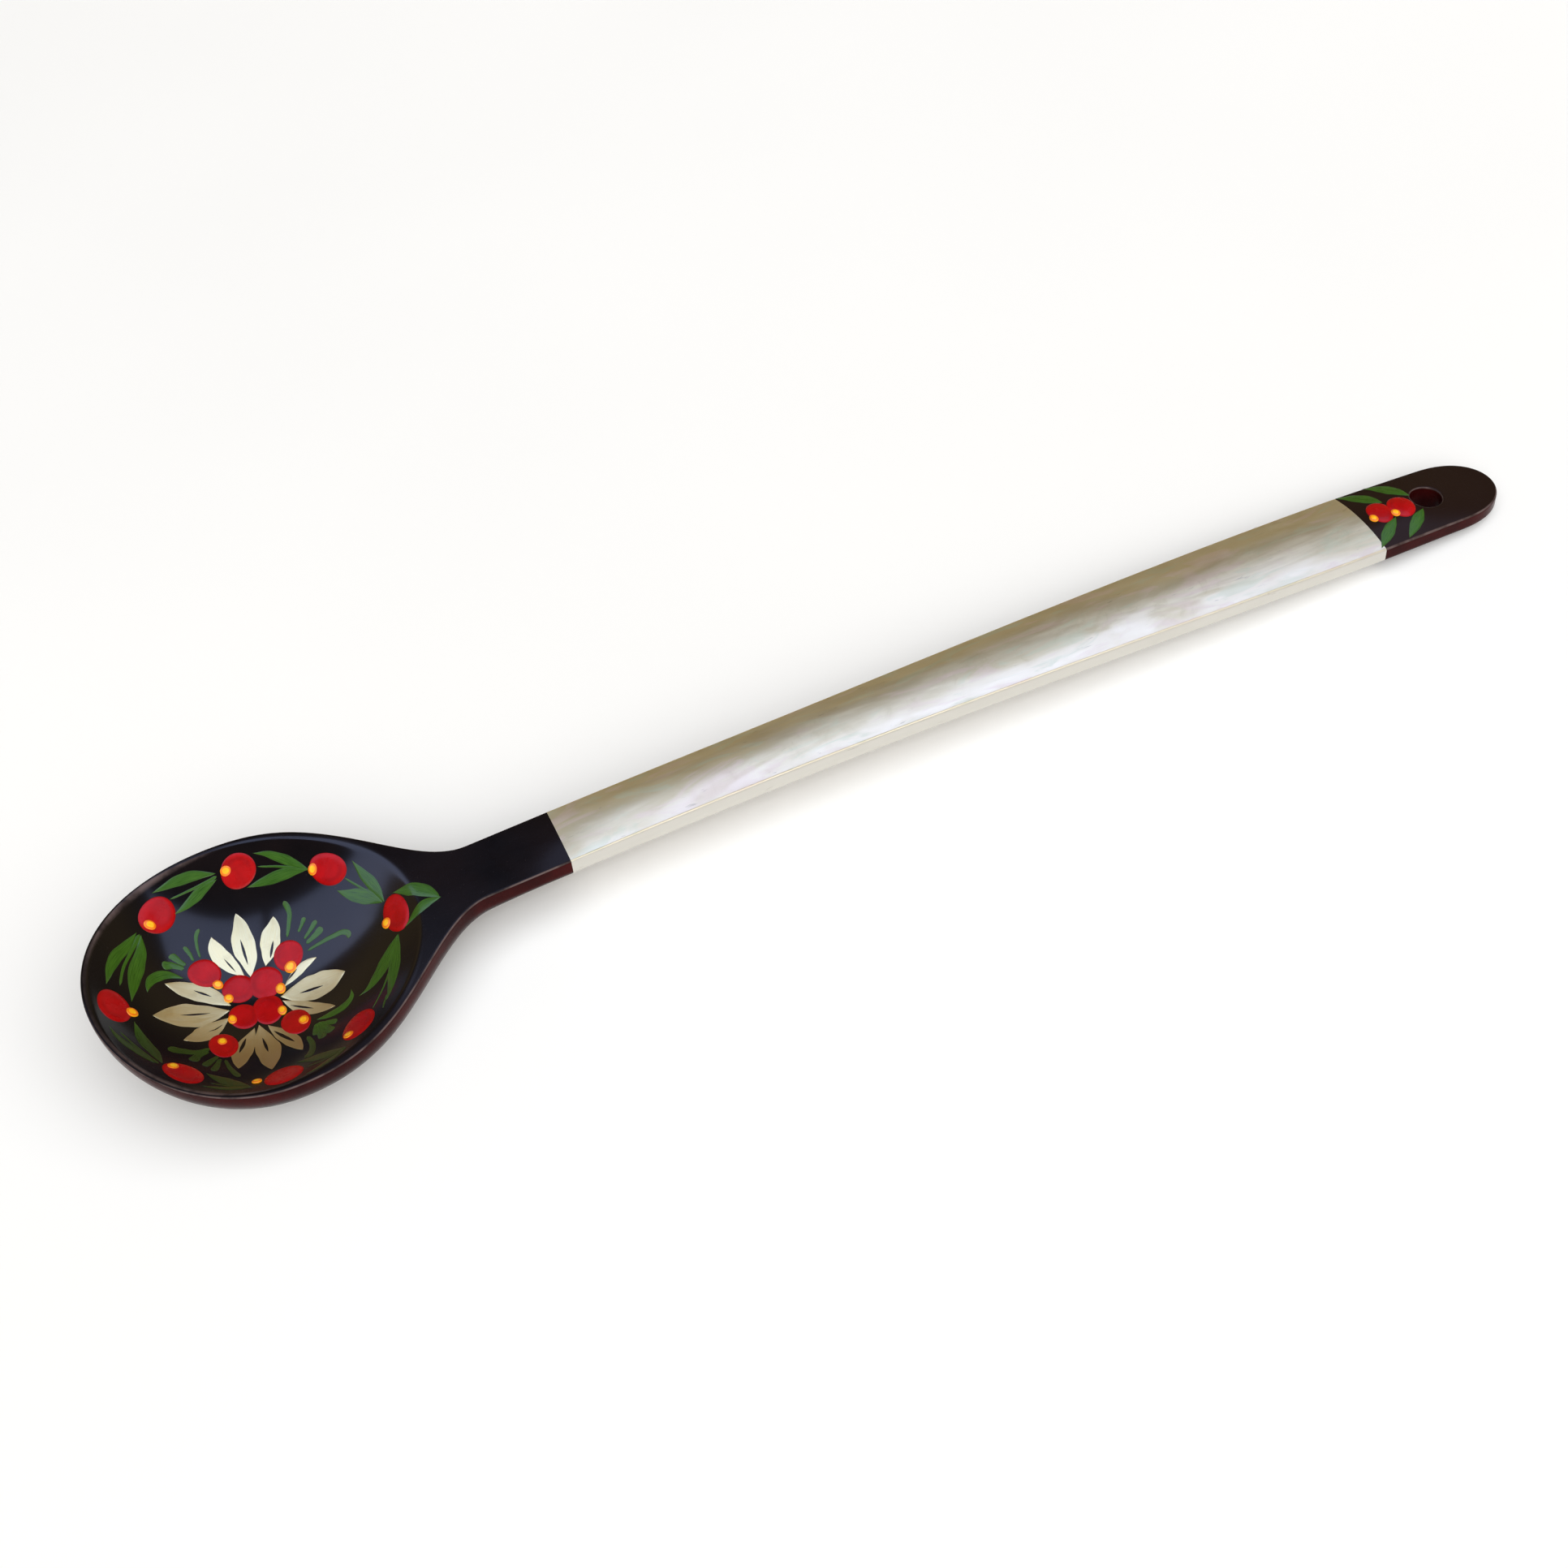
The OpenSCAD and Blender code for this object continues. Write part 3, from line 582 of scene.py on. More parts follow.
def strokes(name, node, rows, shape, h):
    """Brushed strokes, each a domed ribbon of paint that follows the lacquer."""
    points, faces, along, across, seeds = [], [], [], [], []
    wobble = np.random.default_rng(len(name) * 7 + len(rows))
    size = len(ACROSS) + 3
    s = np.linspace(0, 1, STROKE_STEPS + 1)
    dome = h * (DOME_FOOT + (1 - DOME_FOOT) * quarter_round(ACROSS))
    for number, (places, half) in enumerate(rows):
        line = through(places, STROKE_STEPS)
        ahead = np.gradient(line, axis=0)
        ahead /= np.linalg.norm(ahead, axis=1)[:, None]
        side = np.stack([-ahead[:, 1], ahead[:, 0]], -1)
        phase = wobble.uniform(0, ANY_PHASE, 4)
        for i in range(STROKE_STEPS + 1):
            width = half * float(SHAPES[shape](s[i]))
            left = width * uneven(s[i], LEFT_RATES, phase[:2])
            right = width * uneven(s[i], RIGHT_RATES, phase[2:])
            reach = np.where(ACROSS < 0, right, left)
            xy = line[i] + side[i] * (ACROSS * reach)[:, None]
            points.append(on_lacquer(xy[:, 0], xy[:, 1], dome))
            low = line[i] + side[i] * np.array([[left], [0], [-right]])
            points.append(on_lacquer(low[:, 0], low[:, 1], np.full(3, -SINK)))
            along += [s[i]] * size
            across += list(ACROSS) + [1, 0, -1]
            seeds += [number + 1] * size
        first = number * (STROKE_STEPS + 1) * size
        faces += grid_faces(STROKE_STEPS + 1, size, first=first, flip=True)
    values = {"along": along, "across": across, "seed": seeds}
    return mesh_object(name, laid_down(np.concatenate(points)), faces, node, values)


DAB_SIDES = 44
DAB_RINGS = np.array([1.0, 0.97, 0.92, 0.84, 0.74, 0.62, 0.48, 0.32, 0.16])
OVAL, LUMP = 0.02, 0.015  # how far a dab is from a true ellipse
DAB_FLAT, DAB_ROUND = 4, 0.6


def dabs(name, node, rows, h, base=0.0):
    """Round dabs of paint: each row gives a place, the half sizes and how far it is turned."""
    points, faces, rho, theta, seeds = [], [], [], [], []
    wobble = np.random.default_rng(len(name) * 5 + len(rows))
    size, rings, count = DAB_SIDES, len(DAB_RINGS), 0
    turn = np.linspace(0, 2 * np.pi, size, endpoint=False)
    for number, (x, y, rx, ry, angle) in enumerate(rows):
        phase = wobble.uniform(0, ANY_PHASE, 2)
        wave = 1 + OVAL * np.sin(2 * turn + phase[0]) + LUMP * np.sin(3 * turn + phase[1])
        c, s = math.cos(math.radians(angle)), math.sin(math.radians(angle))
        for r in DAB_RINGS:
            u, v = r * rx * wave * np.cos(turn), r * ry * wave * np.sin(turn)
            height = np.full(size, base + h * (1 - r**DAB_FLAT) ** DAB_ROUND)
            points.append(on_lacquer(x + u * c - v * s, y + u * s + v * c, height))
            rho += [r] * size
            theta += list(turn)
        rim = points[-rings]
        middle = np.array([float(x)]), np.array([float(y)])
        points.append(on_lacquer(*middle, np.array([base + h])))
        points.append(on_lacquer(*middle, np.array([-SINK])))
        points.append(on_lacquer(rim[:, 0], rim[:, 1], np.full(size, -SINK)))
        rho += [0, 0] + [1] * size
        theta += [0, 0] + list(turn)
        faces += grid_faces(rings, size, first=count)
        top = count + rings * size
        foot = top + 2
        for j in range(size):
            k = (j + 1) % size
            faces.append((top - size + j, top - size + k, top))
            faces.append((foot + j, foot + k, count + k, count + j))
            faces.append((foot + k, foot + j, top + 1))
        total = rings * size + 2 + size
        seeds += [number + 1] * total
        count += total
    values = {"rho": rho, "theta": theta, "seed": seeds}
    return mesh_object(name, laid_down(np.concatenate(points)), faces, node, values)


# ---- The ornament, as places along and across the spoon in millimetres ----
# Berries and dots: x, y, half sizes and degrees turned. Strokes: a line and half the width.
GARLAND_BERRIES = [
    (57.4, 0.1, 2.5, 4.5, 3), (48.7, 18.0, 4.1, 2.7, 127),
    (32.7, 25.9, 3.4, 3.1, 0), (16.0, 21.2, 4.0, 2.8, 48),
    (4.6, -0.1, 2.3, 4.2, 0), (12.7, -18.8, 4.1, 2.6, 120),
    (28.8, -26.3, 3.5, 3.2, 0), (43.9, -21.1, 4.1, 3.0, 58),
]
GARLAND_DOTS = [
    (55.2, -0.2, 0.9, 1.2, 0), (46.0, 19.7, 0.9, 1.1, 0),
    (30.5, 26.7, 1.1, 0.9, 0), (14.2, 19.4, 1.0, 1.0, 0),
    (7.0, -1.0, 0.9, 1.1, 0), (11.3, -16.4, 0.9, 1.1, 0),
    (24.1, -25.4, 0.9, 0.8, 0), (41.7, -22.7, 1.0, 1.0, 0),
]
GARLAND_LEAVES = [
    ([(56.2, 4.4), (55.6, 8.5), (54.6, 12.0), (53.4, 16.5)], 1),
    ([(55.9, 4.6), (54.2, 7.3), (52.6, 9.2), (50.9, 10.9), (48.8, 13.4)], 1.35),
    ([(65.8, -2.6), (64.5, -0.5), (62.7, 1.4), (60.8, 3.0), (58.3, 4.7)], 1.5),
    ([(66.0, -2.6), (63.2, -2.6), (60.8, -3.4), (58.0, -4.4)], 1.1),
    ([(45.2, 20.2), (43.4, 22.2), (41.3, 24.4), (39.0, 26.4), (36.4, 27.7)], 0.85),
    ([(45.0, 20.3), (42.5, 21.4), (40.0, 21.9), (37.0, 22.3), (33.2, 22.6)], 1.15),
    ([(28.6, 26.9), (25.0, 27.5), (22.0, 27.3), (19.5, 26.6), (16.3, 25.4)], 0.95),
    ([(28.4, 25.9), (25.5, 24.9), (23.0, 23.5), (21.0, 22.3), (18.8, 21.2)], 0.9),
    ([(11.6, 17.8), (9.2, 14.8), (7.2, 12.2), (5.6, 9.2), (4.3, 5.2)], 0.95),
    ([(12.2, 17.4), (11.3, 13.8), (10.0, 10.5), (8.7, 7.0), (7.4, 1.8)], 1.15),
    ([(9.8, -15.4), (8.9, -12.0), (7.8, -9.0), (7.3, -6.5), (7.0, -3.4)], 1),
    ([(8.6, -15.5), (6.5, -12.3), (4.8, -10.0), (3.8, -8.0), (3.1, -5.9)], 0.65),
    ([(22.8, -26.6), (20.0, -23.8), (18.0, -21.5), (16.2, -19.0)], 1.1),
    ([(23.2, -27.2), (20.0, -26.2), (17.5, -25.0), (15.2, -23.8)], 0.6),
    ([(40.5, -26.4), (37.5, -25.6), (35.0, -24.6), (31.6, -23.1)], 1.15),
    ([(40.4, -26.8), (37.5, -28.1), (35.0, -29.0), (32.6, -29.6)], 0.7),
    ([(56.2, -4.6), (52.9, -8.0), (50.3, -10.4), (48.0, -12.0), (45.9, -12.5)], 1.5),
    ([(56.4, -4.6), (54.2, -9.5), (52.9, -13.0), (51.5, -16.4), (50.0, -19.2)], 1.25),
]
GARLAND_STEMS = [
    ([(56.0, 5.0), (53.4, 10.2), (50.9, 14.7)], 0.3),
    ([(45.2, 20.2), (40.5, 23.3), (36.3, 25.3)], 0.28),
    ([(28.6, 26.4), (23.0, 25.2), (19.0, 24.1)], 0.3),
    ([(12.0, 17.5), (8.0, 10.5), (6.3, 5.4)], 0.35),
    ([(9.2, -15.6), (6.4, -10.8), (4.5, -6.9)], 0.3),
    ([(23.0, -26.9), (19.5, -25.0), (16.6, -22.8)], 0.25),
    ([(40.5, -26.6), (36.5, -26.9), (32.9, -26.5)], 0.25),
    ([(53.0, -10.8), (50.0, -15.2), (47.2, -18.7)], 0.25),
    ([(50.6, -17.6), (49.6, -19.2), (48.9, -20.9)], 0.28),
]
PETALS = [
    ([(27.4, 5.9), (25.8, 8.5), (24.5, 11.3), (23.9, 13.8), (23.9, 15.8)], 1.75),
    ([(28.4, 5.2), (28.9, 9.0), (29.1, 12.5), (29.5, 16.0), (29.6, 18.9)], 2.15),
    ([(31.6, 6.5), (33.0, 9.2), (34.3, 11.8), (35.4, 13.9), (36.0, 15.5)], 1.95),
    ([(33.6, 0.2), (36.2, 1.7), (38.6, 2.9), (41.0, 3.1)], 1.05),
    ([(32.4, -1.8), (36.0, -2.7), (39.8, -3.5), (45.0, -3.9)], 3.3),
    ([(32.5, -2.9), (35.0, -6.2), (37.7, -8.9), (41.2, -11.1)], 1.55),
    ([(28.6, -7.8), (30.6, -12.0), (32.1, -15.4), (33.2, -19.4)], 1.55),
    ([(27.1, -6.9), (27.2, -12.0), (27.4, -17.0), (27.1, -22.2)], 2.25),
    ([(26.2, -7.4), (23.9, -11.5), (22.6, -15.0), (21.6, -18.8)], 1.9),
    ([(22.4, -3.0), (19.5, -5.0), (16.8, -6.9), (13.9, -7.9)], 1.9),
    ([(22.9, -1.2), (18.5, -1.2), (14.5, -1.3), (10.1, -1.2)], 3.05),
    ([(23.4, 0.0), (20.5, 3.0), (17.3, 5.1), (13.5, 6.9)], 2.15),
]
SLITS = [
    ([(24.8, 10.9), (26.1, 7.4)], 0.2),
    ([(28.8, 13.8), (28.6, 8.1)], 0.32),
    ([(34.5, 11.0), (32.9, 7.7)], 0.33),
    ([(36.9, 2.8), (34.6, 1.3)], 0.25),
    ([(35.9, -3.1), (40.4, -4.2)], 0.4),
    ([(33.6, -5.0), (37.4, -8.7)], 0.28),
    ([(29.3, -10.0), (32.3, -15.7)], 0.42),
    ([(27.0, -10.9), (27.3, -15.8)], 0.34),
    ([(24.2, -9.7), (22.4, -13.7)], 0.42),
    ([(21.0, -4.5), (19.6, -5.5), (18.3, -5.9)], 0.15),
    ([(14.5, -0.95), (19.5, -1.05)], 0.28),
    ([(17.9, 5.0), (20.6, 3.0)], 0.28),
]
OUTER_BERRIES = [
    (20.7, 8.5, 2.95, 3.15, 0), (36.2, 6.5, 2.9, 3.3, 0),
    (33.6, -10.1, 2.8, 3.6, 10), (20.2, -10.6, 2.55, 3.6, 0),
]
OUTER_DOTS = [
    (22.3, 5.5, 0.95, 1.0, 0), (35.9, 3.9, 1.15, 1.35, 0),
    (35.0, -10.6, 1.0, 1.3, 0), (20.1, -9.4, 0.85, 1.15, 0),
]
HEART_BERRIES = [
    (25.6, 3.4, 3.0, 3.3, 0), (30.6, 2.8, 3.3, 3.7, 0),
    (29.5, -3.8, 2.9, 3.8, 0), (25.0, -3.6, 2.7, 3.3, 0),
]
HEART_DOTS = [
    (23.4, 1.8, 0.9, 1.0, 0), (32.9, 0.1, 0.95, 1.3, 0),
    (31.9, -5.4, 0.85, 1.2, 0), (22.9, -3.7, 0.8, 1.2, 0),
]
GRASS = [
    ([(37.1, 10.3), (38.3, 12.8), (39.1, 15.0), (38.8, 17.3)], 0.6),
    ([(39.4, 10.2), (40.5, 11.3), (41.4, 12.4)], 0.5),
    ([(40.0, 8.2), (41.6, 9.3), (43.3, 10.5)], 0.6),
    ([(40.1, 7.1), (42.0, 7.7), (43.9, 8.4)], 0.85),
    ([(39.8, 5.5), (42.5, 5.6), (45.0, 5.4), (47.1, 4.9), (48.0, 3.9), (47.8, 2.8)], 0.65),
    ([(20.8, 12.0), (20.9, 14.5), (21.3, 16.5), (22.3, 17.9)], 0.4),
    ([(19.5, 11.6), (19.2, 13.2), (18.7, 14.8)], 0.5),
    ([(17.9, 10.8), (16.9, 12.0), (15.9, 13.3)], 0.85),
    ([(17.5, 10.1), (15.8, 10.9), (14.0, 11.0)], 1),
    ([(37.0, -13.4), (38.8, -14.6), (40.6, -15.8)], 0.85),
    ([(37.1, -13.5), (38.3, -15.8), (39.2, -18.0)], 1),
    ([(37.0, -13.5), (37.2, -16.2), (37.2, -18.7)], 1),
    ([(36.9, -13.3), (36.5, -15.0), (36.2, -16.6)], 0.8),
    ([(34.7, -15.8), (35.1, -18.5), (34.9, -20.5), (34.0, -22.4), (33.3, -21.8)], 0.85),
    ([(17.8, -10.8), (15.5, -11.7), (13.2, -11.2), (11.1, -10.3)], 1),
    ([(17.4, -11.6), (15.6, -12.8), (14.5, -14.5)], 1),
    ([(18.8, -13.6), (17.4, -14.9), (16.2, -16.4)], 0.85),
    ([(19.0, -14.5), (18.3, -16.3), (17.5, -18.4)], 0.75),
    ([(19.8, -15.0), (20.2, -18.0), (20.9, -20.3), (21.5, -21.9)], 0.6),
]
CURLED_LEAVES = [
    ([(16.9, 8.0), (14.3, 8.9), (12.2, 8.2), (10.9, 6.5), (10.3, 4.6)], 1.0),
    ([(37.2, -12.2), (39.5, -12.7), (42.5, -12.7), (44.4, -11.4), (44.9, -9.3)], 0.95),
]
TIP_LEAVES = [
    ([(274.9, 2.4), (272.9, 5.0), (270.8, 7.2), (268.2, 9.1)], 1.5),
    ([(281.1, 1.8), (279.2, 4.9), (277.4, 7.0), (274.8, 9.2)], 1.5),
    ([(274.6, -2.8), (272.2, -4.6), (269.8, -6.6), (267.2, -8.8)], 1.25),
    ([(281.1, -3.0), (278.8, -4.8), (276.6, -6.6), (273.9, -8.7)], 1.25),
]
TIP_BERRIES = [(272.6, 0.0, 2.6, 3.2, 0), (277.5, -0.5, 2.75, 3.3, 0)]
TIP_DOTS = [(270.4, -1.1, 0.9, 1.05, 0), (275.3, -1.7, 0.9, 1.05, 0)]


def green(name, node, rows, shape, h=STROKE_H):
    return strokes(name, node, rows, shape, h)


def berries(name, node, rows):
    return dabs(name, node, rows, BERRY_H)


def dots(name, node, rows):
    return dabs(name, node, rows, DOT_H, DOT_BASE)


garland_leaves = green("garland_leaf_strokes", "garland_leaves", GARLAND_LEAVES, "leaf")
garland_stems = green("garland_stem_strokes", "garland_stems", GARLAND_STEMS, "stem", STEM_H)
garland_berries = berries("garland_berry_dabs", "garland_berries", GARLAND_BERRIES)
garland_dots = dots("garland_yellow_dots", "garland_berry_dots", GARLAND_DOTS)
petals = strokes(
    "flower_petal_strokes", "flower_petals", PETALS, "petal", PETAL_H
)
slits = strokes("petal_slit_strokes", "petal_veins", SLITS, "slit", SLIT_H)
outer_berries = berries("flower_outer_berry_dabs", "flower_outer_berries", OUTER_BERRIES)
outer_dots = dots("flower_outer_yellow_dots", "flower_outer_dots", OUTER_DOTS)
heart_berries = berries("flower_heart_berry_dabs", "flower_heart_berries", HEART_BERRIES)
heart_dots = dots("flower_heart_yellow_dots", "flower_heart_dots", HEART_DOTS)
grass = green("grass_strokes", "grass_sprays", GRASS, "grass", GRASS_H)
curled = green("curled_leaf_strokes", "grass_sprays", CURLED_LEAVES, "leaf", GRASS_H)
tip_leaves = green("tip_leaf_strokes", "tip_leaves", TIP_LEAVES, "leaf")
tip_berries = berries("tip_berry_dabs", "tip_berries", TIP_BERRIES)
tip_dots = dots("tip_yellow_dots", "tip_berry_dots", TIP_DOTS)


# ---- Materials ----
HOLLOW_X = float(laid_down(np.array([CAVITY_MID_X, 0.0, 0.0]))[0])  # the hollow's middle
WALL_SKEW = 0.35  # how much further from the middle the near wall starts along the spoon


def rgb(r, g, b):
    """A colour given as seen on a screen, in the renderer's linear values."""
    def linear(c):
        c /= 255
        return c / 12.92 if c <= 0.04045 else ((c + 0.055) / 1.055) ** 2.4

    return (linear(r), linear(g), linear(b), 1.0)


class Graph:
    """A material's nodes, wired by name."""

    def __init__(self, name):
        self.material = bpy.data.materials.new(name)
        self.material.use_nodes = True
        self.tree = self.material.node_tree
        self.tree.nodes.clear()
        self.surface = self.add("BsdfPrincipled")
        self.add("OutputMaterial", {0: self.surface.outputs[0]})
        self.place = self.add("TexCoord").outputs["Object"]

    def add(self, kind, inputs=None, **props):
        n = self.tree.nodes.new("ShaderNode" + kind)
        for key, value in props.items():
            setattr(n, key, value)
        for key, value in (inputs or {}).items():
            self.put(n.inputs[key], value)
        return n

    def put(self, socket, value):
        if isinstance(value, bpy.types.NodeSocket):
            self.tree.links.new(value, socket)
        else:
            socket.default_value = value

    def set(self, **values):
        for key, value in values.items():
            self.put(self.surface.inputs[key.replace("_", " ")], value)
        return self

    def noise(self, scale, detail, rough=0.5, distortion=0.0, vector=None):
        inputs = {"Vector": vector or self.place, "Scale": scale, "Detail": detail}
        inputs.update({"Roughness": rough, "Distortion": distortion})
        return self.add("TexNoise", inputs).outputs[0]

    def stretched(self, x, y, z):
        inputs = {"Vector": self.place, "Scale": (x, y, z)}
        return self.add("Mapping", inputs).outputs[0]

    def span(self, value, a, b, c=0.0, d=1.0):
        """c where the value is a, d where it is b, and an easy slope between."""
        inputs = {"Value": value, 1: a, 2: b, 3: c, 4: d}
        return self.add("MapRange", inputs, interpolation_type="SMOOTHSTEP").outputs[0]

    def worked(self, kind, a, b=0.0, clamp=False):
        return self.add("Math", {0: a, 1: b}, operation=kind, use_clamp=clamp).outputs[0]

    def plus(self, a, b, clamp=False):
        return self.worked("ADD", a, b, clamp)

    def less(self, a, b):
        return self.worked("SUBTRACT", a, b)

    def times(self, a, b):
        return self.worked("MULTIPLY", a, b)

    def blend(self, factor, a, b):
        return self.add("Mix", {0: factor, 6: a, 7: b}, data_type="RGBA").outputs[2]

    def toned(self, colour, *tones):
        """The colour with tones over it, each from where its mask starts to where it is full."""
        for mask, start, full, share, tone in tones:
            colour = self.blend(self.span(mask, start, full, 0.0, share), colour, rgb(*tone))
        return colour

    def along(self, axis):
        """How far along x, y or z of the table a point is, in metres."""
        return self.add("SeparateXYZ", {0: self.place}).outputs["XYZ".index(axis)]

    def facing_up(self):
        normal = self.add("NewGeometry").outputs["Normal"]
        return self.add("SeparateXYZ", {0: normal}).outputs[2]

    def near_wall(self):
        """1 down the hollow's near wall, where the paint is thin and the polish doesn't reach;
        green paint there also gets a painted shade.
        """
        skew = self.times(self.less(self.along("X"), HOLLOW_X), WALL_SKEW)
        return self.span(self.plus(self.along("Y"), skew), -0.008, -0.02)

    def tip_end(self):
        """1 on the end of the handle, where the varnish has been handled dull."""
        return self.span(self.along("X"), 0.1, 0.12)

    def attribute(self, name):
        return self.add("Attribute", attribute_name=name).outputs["Fac"]

    def bristles(self, length, breadth, scale, distortion):
        """The marks of a brush along a stroke, different in each."""
        places = {0: self.times(self.attribute("along"), length)}
        places[1] = self.times(self.attribute("across"), breadth)
        places[2] = self.attribute("seed")
        brush = self.add("CombineXYZ", places).outputs[0]
        return self.noise(scale, 4.0, 0.6, distortion, brush)

    def raised(self, height, distance, strength, before=None):
        inputs = {"Height": height, "Distance": distance, "Strength": strength}
        if before is not None:
            inputs["Normal"] = before
        return self.add("Bump", inputs).outputs[0]

    def on(self, *pieces):
        for piece in pieces:
            piece.data.materials.clear()
            piece.data.materials.append(self.material)


def lacquer_relief(g):
    """The slow waves of hand-laid varnish and the fine dust that dried into it."""
    slow = g.raised(g.noise(85, 3.0, 0.45, 0.4), 0.00006, 0.7)
    return g.raised(g.noise(1500, 2.0, 0.6), 0.000004, 0.5, slow)


def brushed_relief(g, bristles, strength, dust):
    """The bristles' furrows over the dust in the paint."""
    return g.raised(bristles, 0.00002, strength, g.raised(g.noise(dust, 2.0, 0.6), 0.000006, 0.5))


def black_lacquer():
    g = Graph("black_lacquer")
    along, up = g.along("X"), g.facing_up()
    steep = g.span(up, 0.6, 0.05)

    # black on top, a painted red-brown reflection down the sides, black again underneath
    top = g.toned(rgb(10, 8, 10), (g.noise(45, 4.0, 0.6), 0.35, 0.7, 1.0, (19, 13, 14)))
    top = g.blend(g.tip_end(), top, rgb(33, 21, 17))
    side = g.toned(
        rgb(40, 6, 6),
        (g.noise(120, 4.0, 0.6), 0.35, 0.7, 1.0, (56, 10, 10)),
        (up, -0.2, -0.7, 1.0, (15, 8, 9)),
    )
    # the steep sides take the painted red-brown reflection
    colour = g.blend(steep, top, side)
    colour = g.toned(colour, (g.noise(2600, 1.0, 0.5), 0.72, 0.8, 0.2, (70, 62, 60)))

    # the hollow, and a painted highlight along the rounded edges outside it, broken up by noise
    reach = g.worked("DIVIDE", g.less(along, HOLLOW_X), CAVITY_HALF_L * MM)
    spread = g.worked("DIVIDE", g.along("Y"), CAVITY_HALF_W * MM)
    off_centre = g.plus(g.times(reach, reach), g.times(spread, spread))
    hollow = g.span(off_centre, 1.04, 0.98)
    edge = g.times(g.span(up, 0.97, 0.85), g.span(up, 0.25, 0.5))
    edge = g.times(edge, g.less(1.0, hollow))
    # painted highlight: the rounded edges outside the hollow turn light, broken up by noise
    edge_highlight = g.times(edge, g.span(g.noise(220, 3.0, 0.6), 0.3, 0.65, 0.15, 0.75))
    colour = g.blend(edge_highlight, colour, rgb(104, 88, 86))

    # polished in the hollow, duller on its near wall and towards the end of the handle
    polish = g.plus(0.18, g.times(hollow, 0.54))
    polish = g.times(polish, g.less(1.0, g.times(g.near_wall(), 0.8)))
    polish = g.times(polish, g.span(along, 0.1, 0.12, 1.0, 0.4))
    smudges = g.span(g.noise(60, 4.0, 0.65, 0.6), 0.3, 0.75, 0.16, 0.3)
    scratches = g.noise(1.0, 2.0, 0.6, 0.0, g.stretched(160, 2600, 900))
    return g.set(
        Base_Color=colour,
        Roughness=g.plus(smudges, g.span(scratches, 0.68, 0.76, 0.0, 0.12), True),
        IOR=1.5,
        Specular_IOR_Level=0.05,
        Coat_Weight=g.times(polish, g.span(steep, 0.2, 0.9, 1.0, 0.1)),
        Coat_Roughness=0.13,
        Coat_IOR=1.5,
        Normal=lacquer_relief(g),
    )


def silver_lacquer():
    g = Graph("silver_lacquer")
    brushed = g.noise(1.0, 5.0, 0.65, 0.3, g.stretched(110, 620, 620))
    broad = g.noise(1.0, 3.0, 0.55, 0.8, g.stretched(26, 120, 120))
    mottled = g.noise(150, 5.0, 0.68, 0.8)
    pearl = g.noise(1.0, 3.0, 0.6, 1.2, g.stretched(60, 190, 190))
    worn_off = g.noise(1.0, 3.0, 0.7, 0.4, g.stretched(150, 900, 900))
    away, up = g.along("Y"), g.facing_up()
    # painted shade and painted highlight across the handle: darker gold towards the far side,
    # bright silver towards the near side
    painted_light_across = g.plus(away, g.span(broad, 0.3, 0.7, -0.003, 0.003))
    metal = g.toned(
        rgb(224, 212, 176),
        (brushed, 0.3, 0.72, 1.0, (243, 234, 200)),
        (broad, 0.42, 0.7, 0.5, (218, 198, 146)),
        (mottled, 0.5, 0.72, 0.45, (196, 184, 142)),
        (painted_light_across, -0.008, 0.004, 0.85, (195, 183, 144)),
        (painted_light_across, 0.0, 0.006, 1.0, (215, 200, 152)),
        (painted_light_across, -0.003, -0.008, 1.0, (247, 237, 208)),
        (pearl, 0.52, 0.66, 0.4, (232, 208, 192)),
        (pearl, 0.46, 0.34, 0.4, (204, 212, 176)),
        (up, 0.9, 0.5, 1.0, (212, 210, 204)),
    )
    # painted reflection: a darker golden-brown band along the far rounded edge, broken up by noise
    edge = g.times(g.span(up, 0.9, 0.6), g.span(up, 0.1, 0.45))
    edge = g.times(edge, g.span(away, 0.0, 0.004))
    far_edge_painted_reflection = g.times(edge, g.span(g.noise(160, 3.0, 0.6), 0.35, 0.65, 0.1, 0.6))
    metal = g.blend(far_edge_painted_reflection, metal, rgb(176, 138, 92))
    metal = g.toned(metal, (worn_off, 0.66, 0.74, 0.35, (138, 130, 112)))
    dull = g.span(mottled, 0.4, 0.8, 0.0, 0.08)
    return g.set(
        Base_Color=metal,
        Metallic=0.85,
        Roughness=g.plus(g.span(brushed, 0.25, 0.75, 0.34, 0.44), dull),
        Coat_Weight=0.3,
        Coat_Roughness=0.14,
        Coat_Tint=(1.0, 0.97, 0.9, 1.0),
        Normal=g.raised(brushed, 0.000012, 0.5, lacquer_relief(g)),
    )


def petal_paint():
    g = Graph("silver_petal_paint")
    bristles = g.bristles(2.2, 7.0, 1.6, 0.2)
    paint = g.toned(
        rgb(250, 234, 170),
        (bristles, 0.3, 0.7, 1.0, (255, 245, 194)),
        (g.noise(420, 3.0, 0.6), 0.5, 0.75, 0.3, (214, 196, 138)),
        # painted shade: petals turn darker khaki towards the near side
        (g.along("Y"), -0.001, -0.015, 0.9, (196, 172, 112)),
    )
    return g.set(
        Base_Color=paint,
        Metallic=0.94,
        Roughness=g.span(bristles, 0.3, 0.7, 0.34, 0.44),
        Coat_Weight=0.25,
        Coat_Roughness=0.14,
        Coat_Tint=(1.0, 0.97, 0.88, 1.0),
        Normal=brushed_relief(g, bristles, 0.4, 2200),
    )


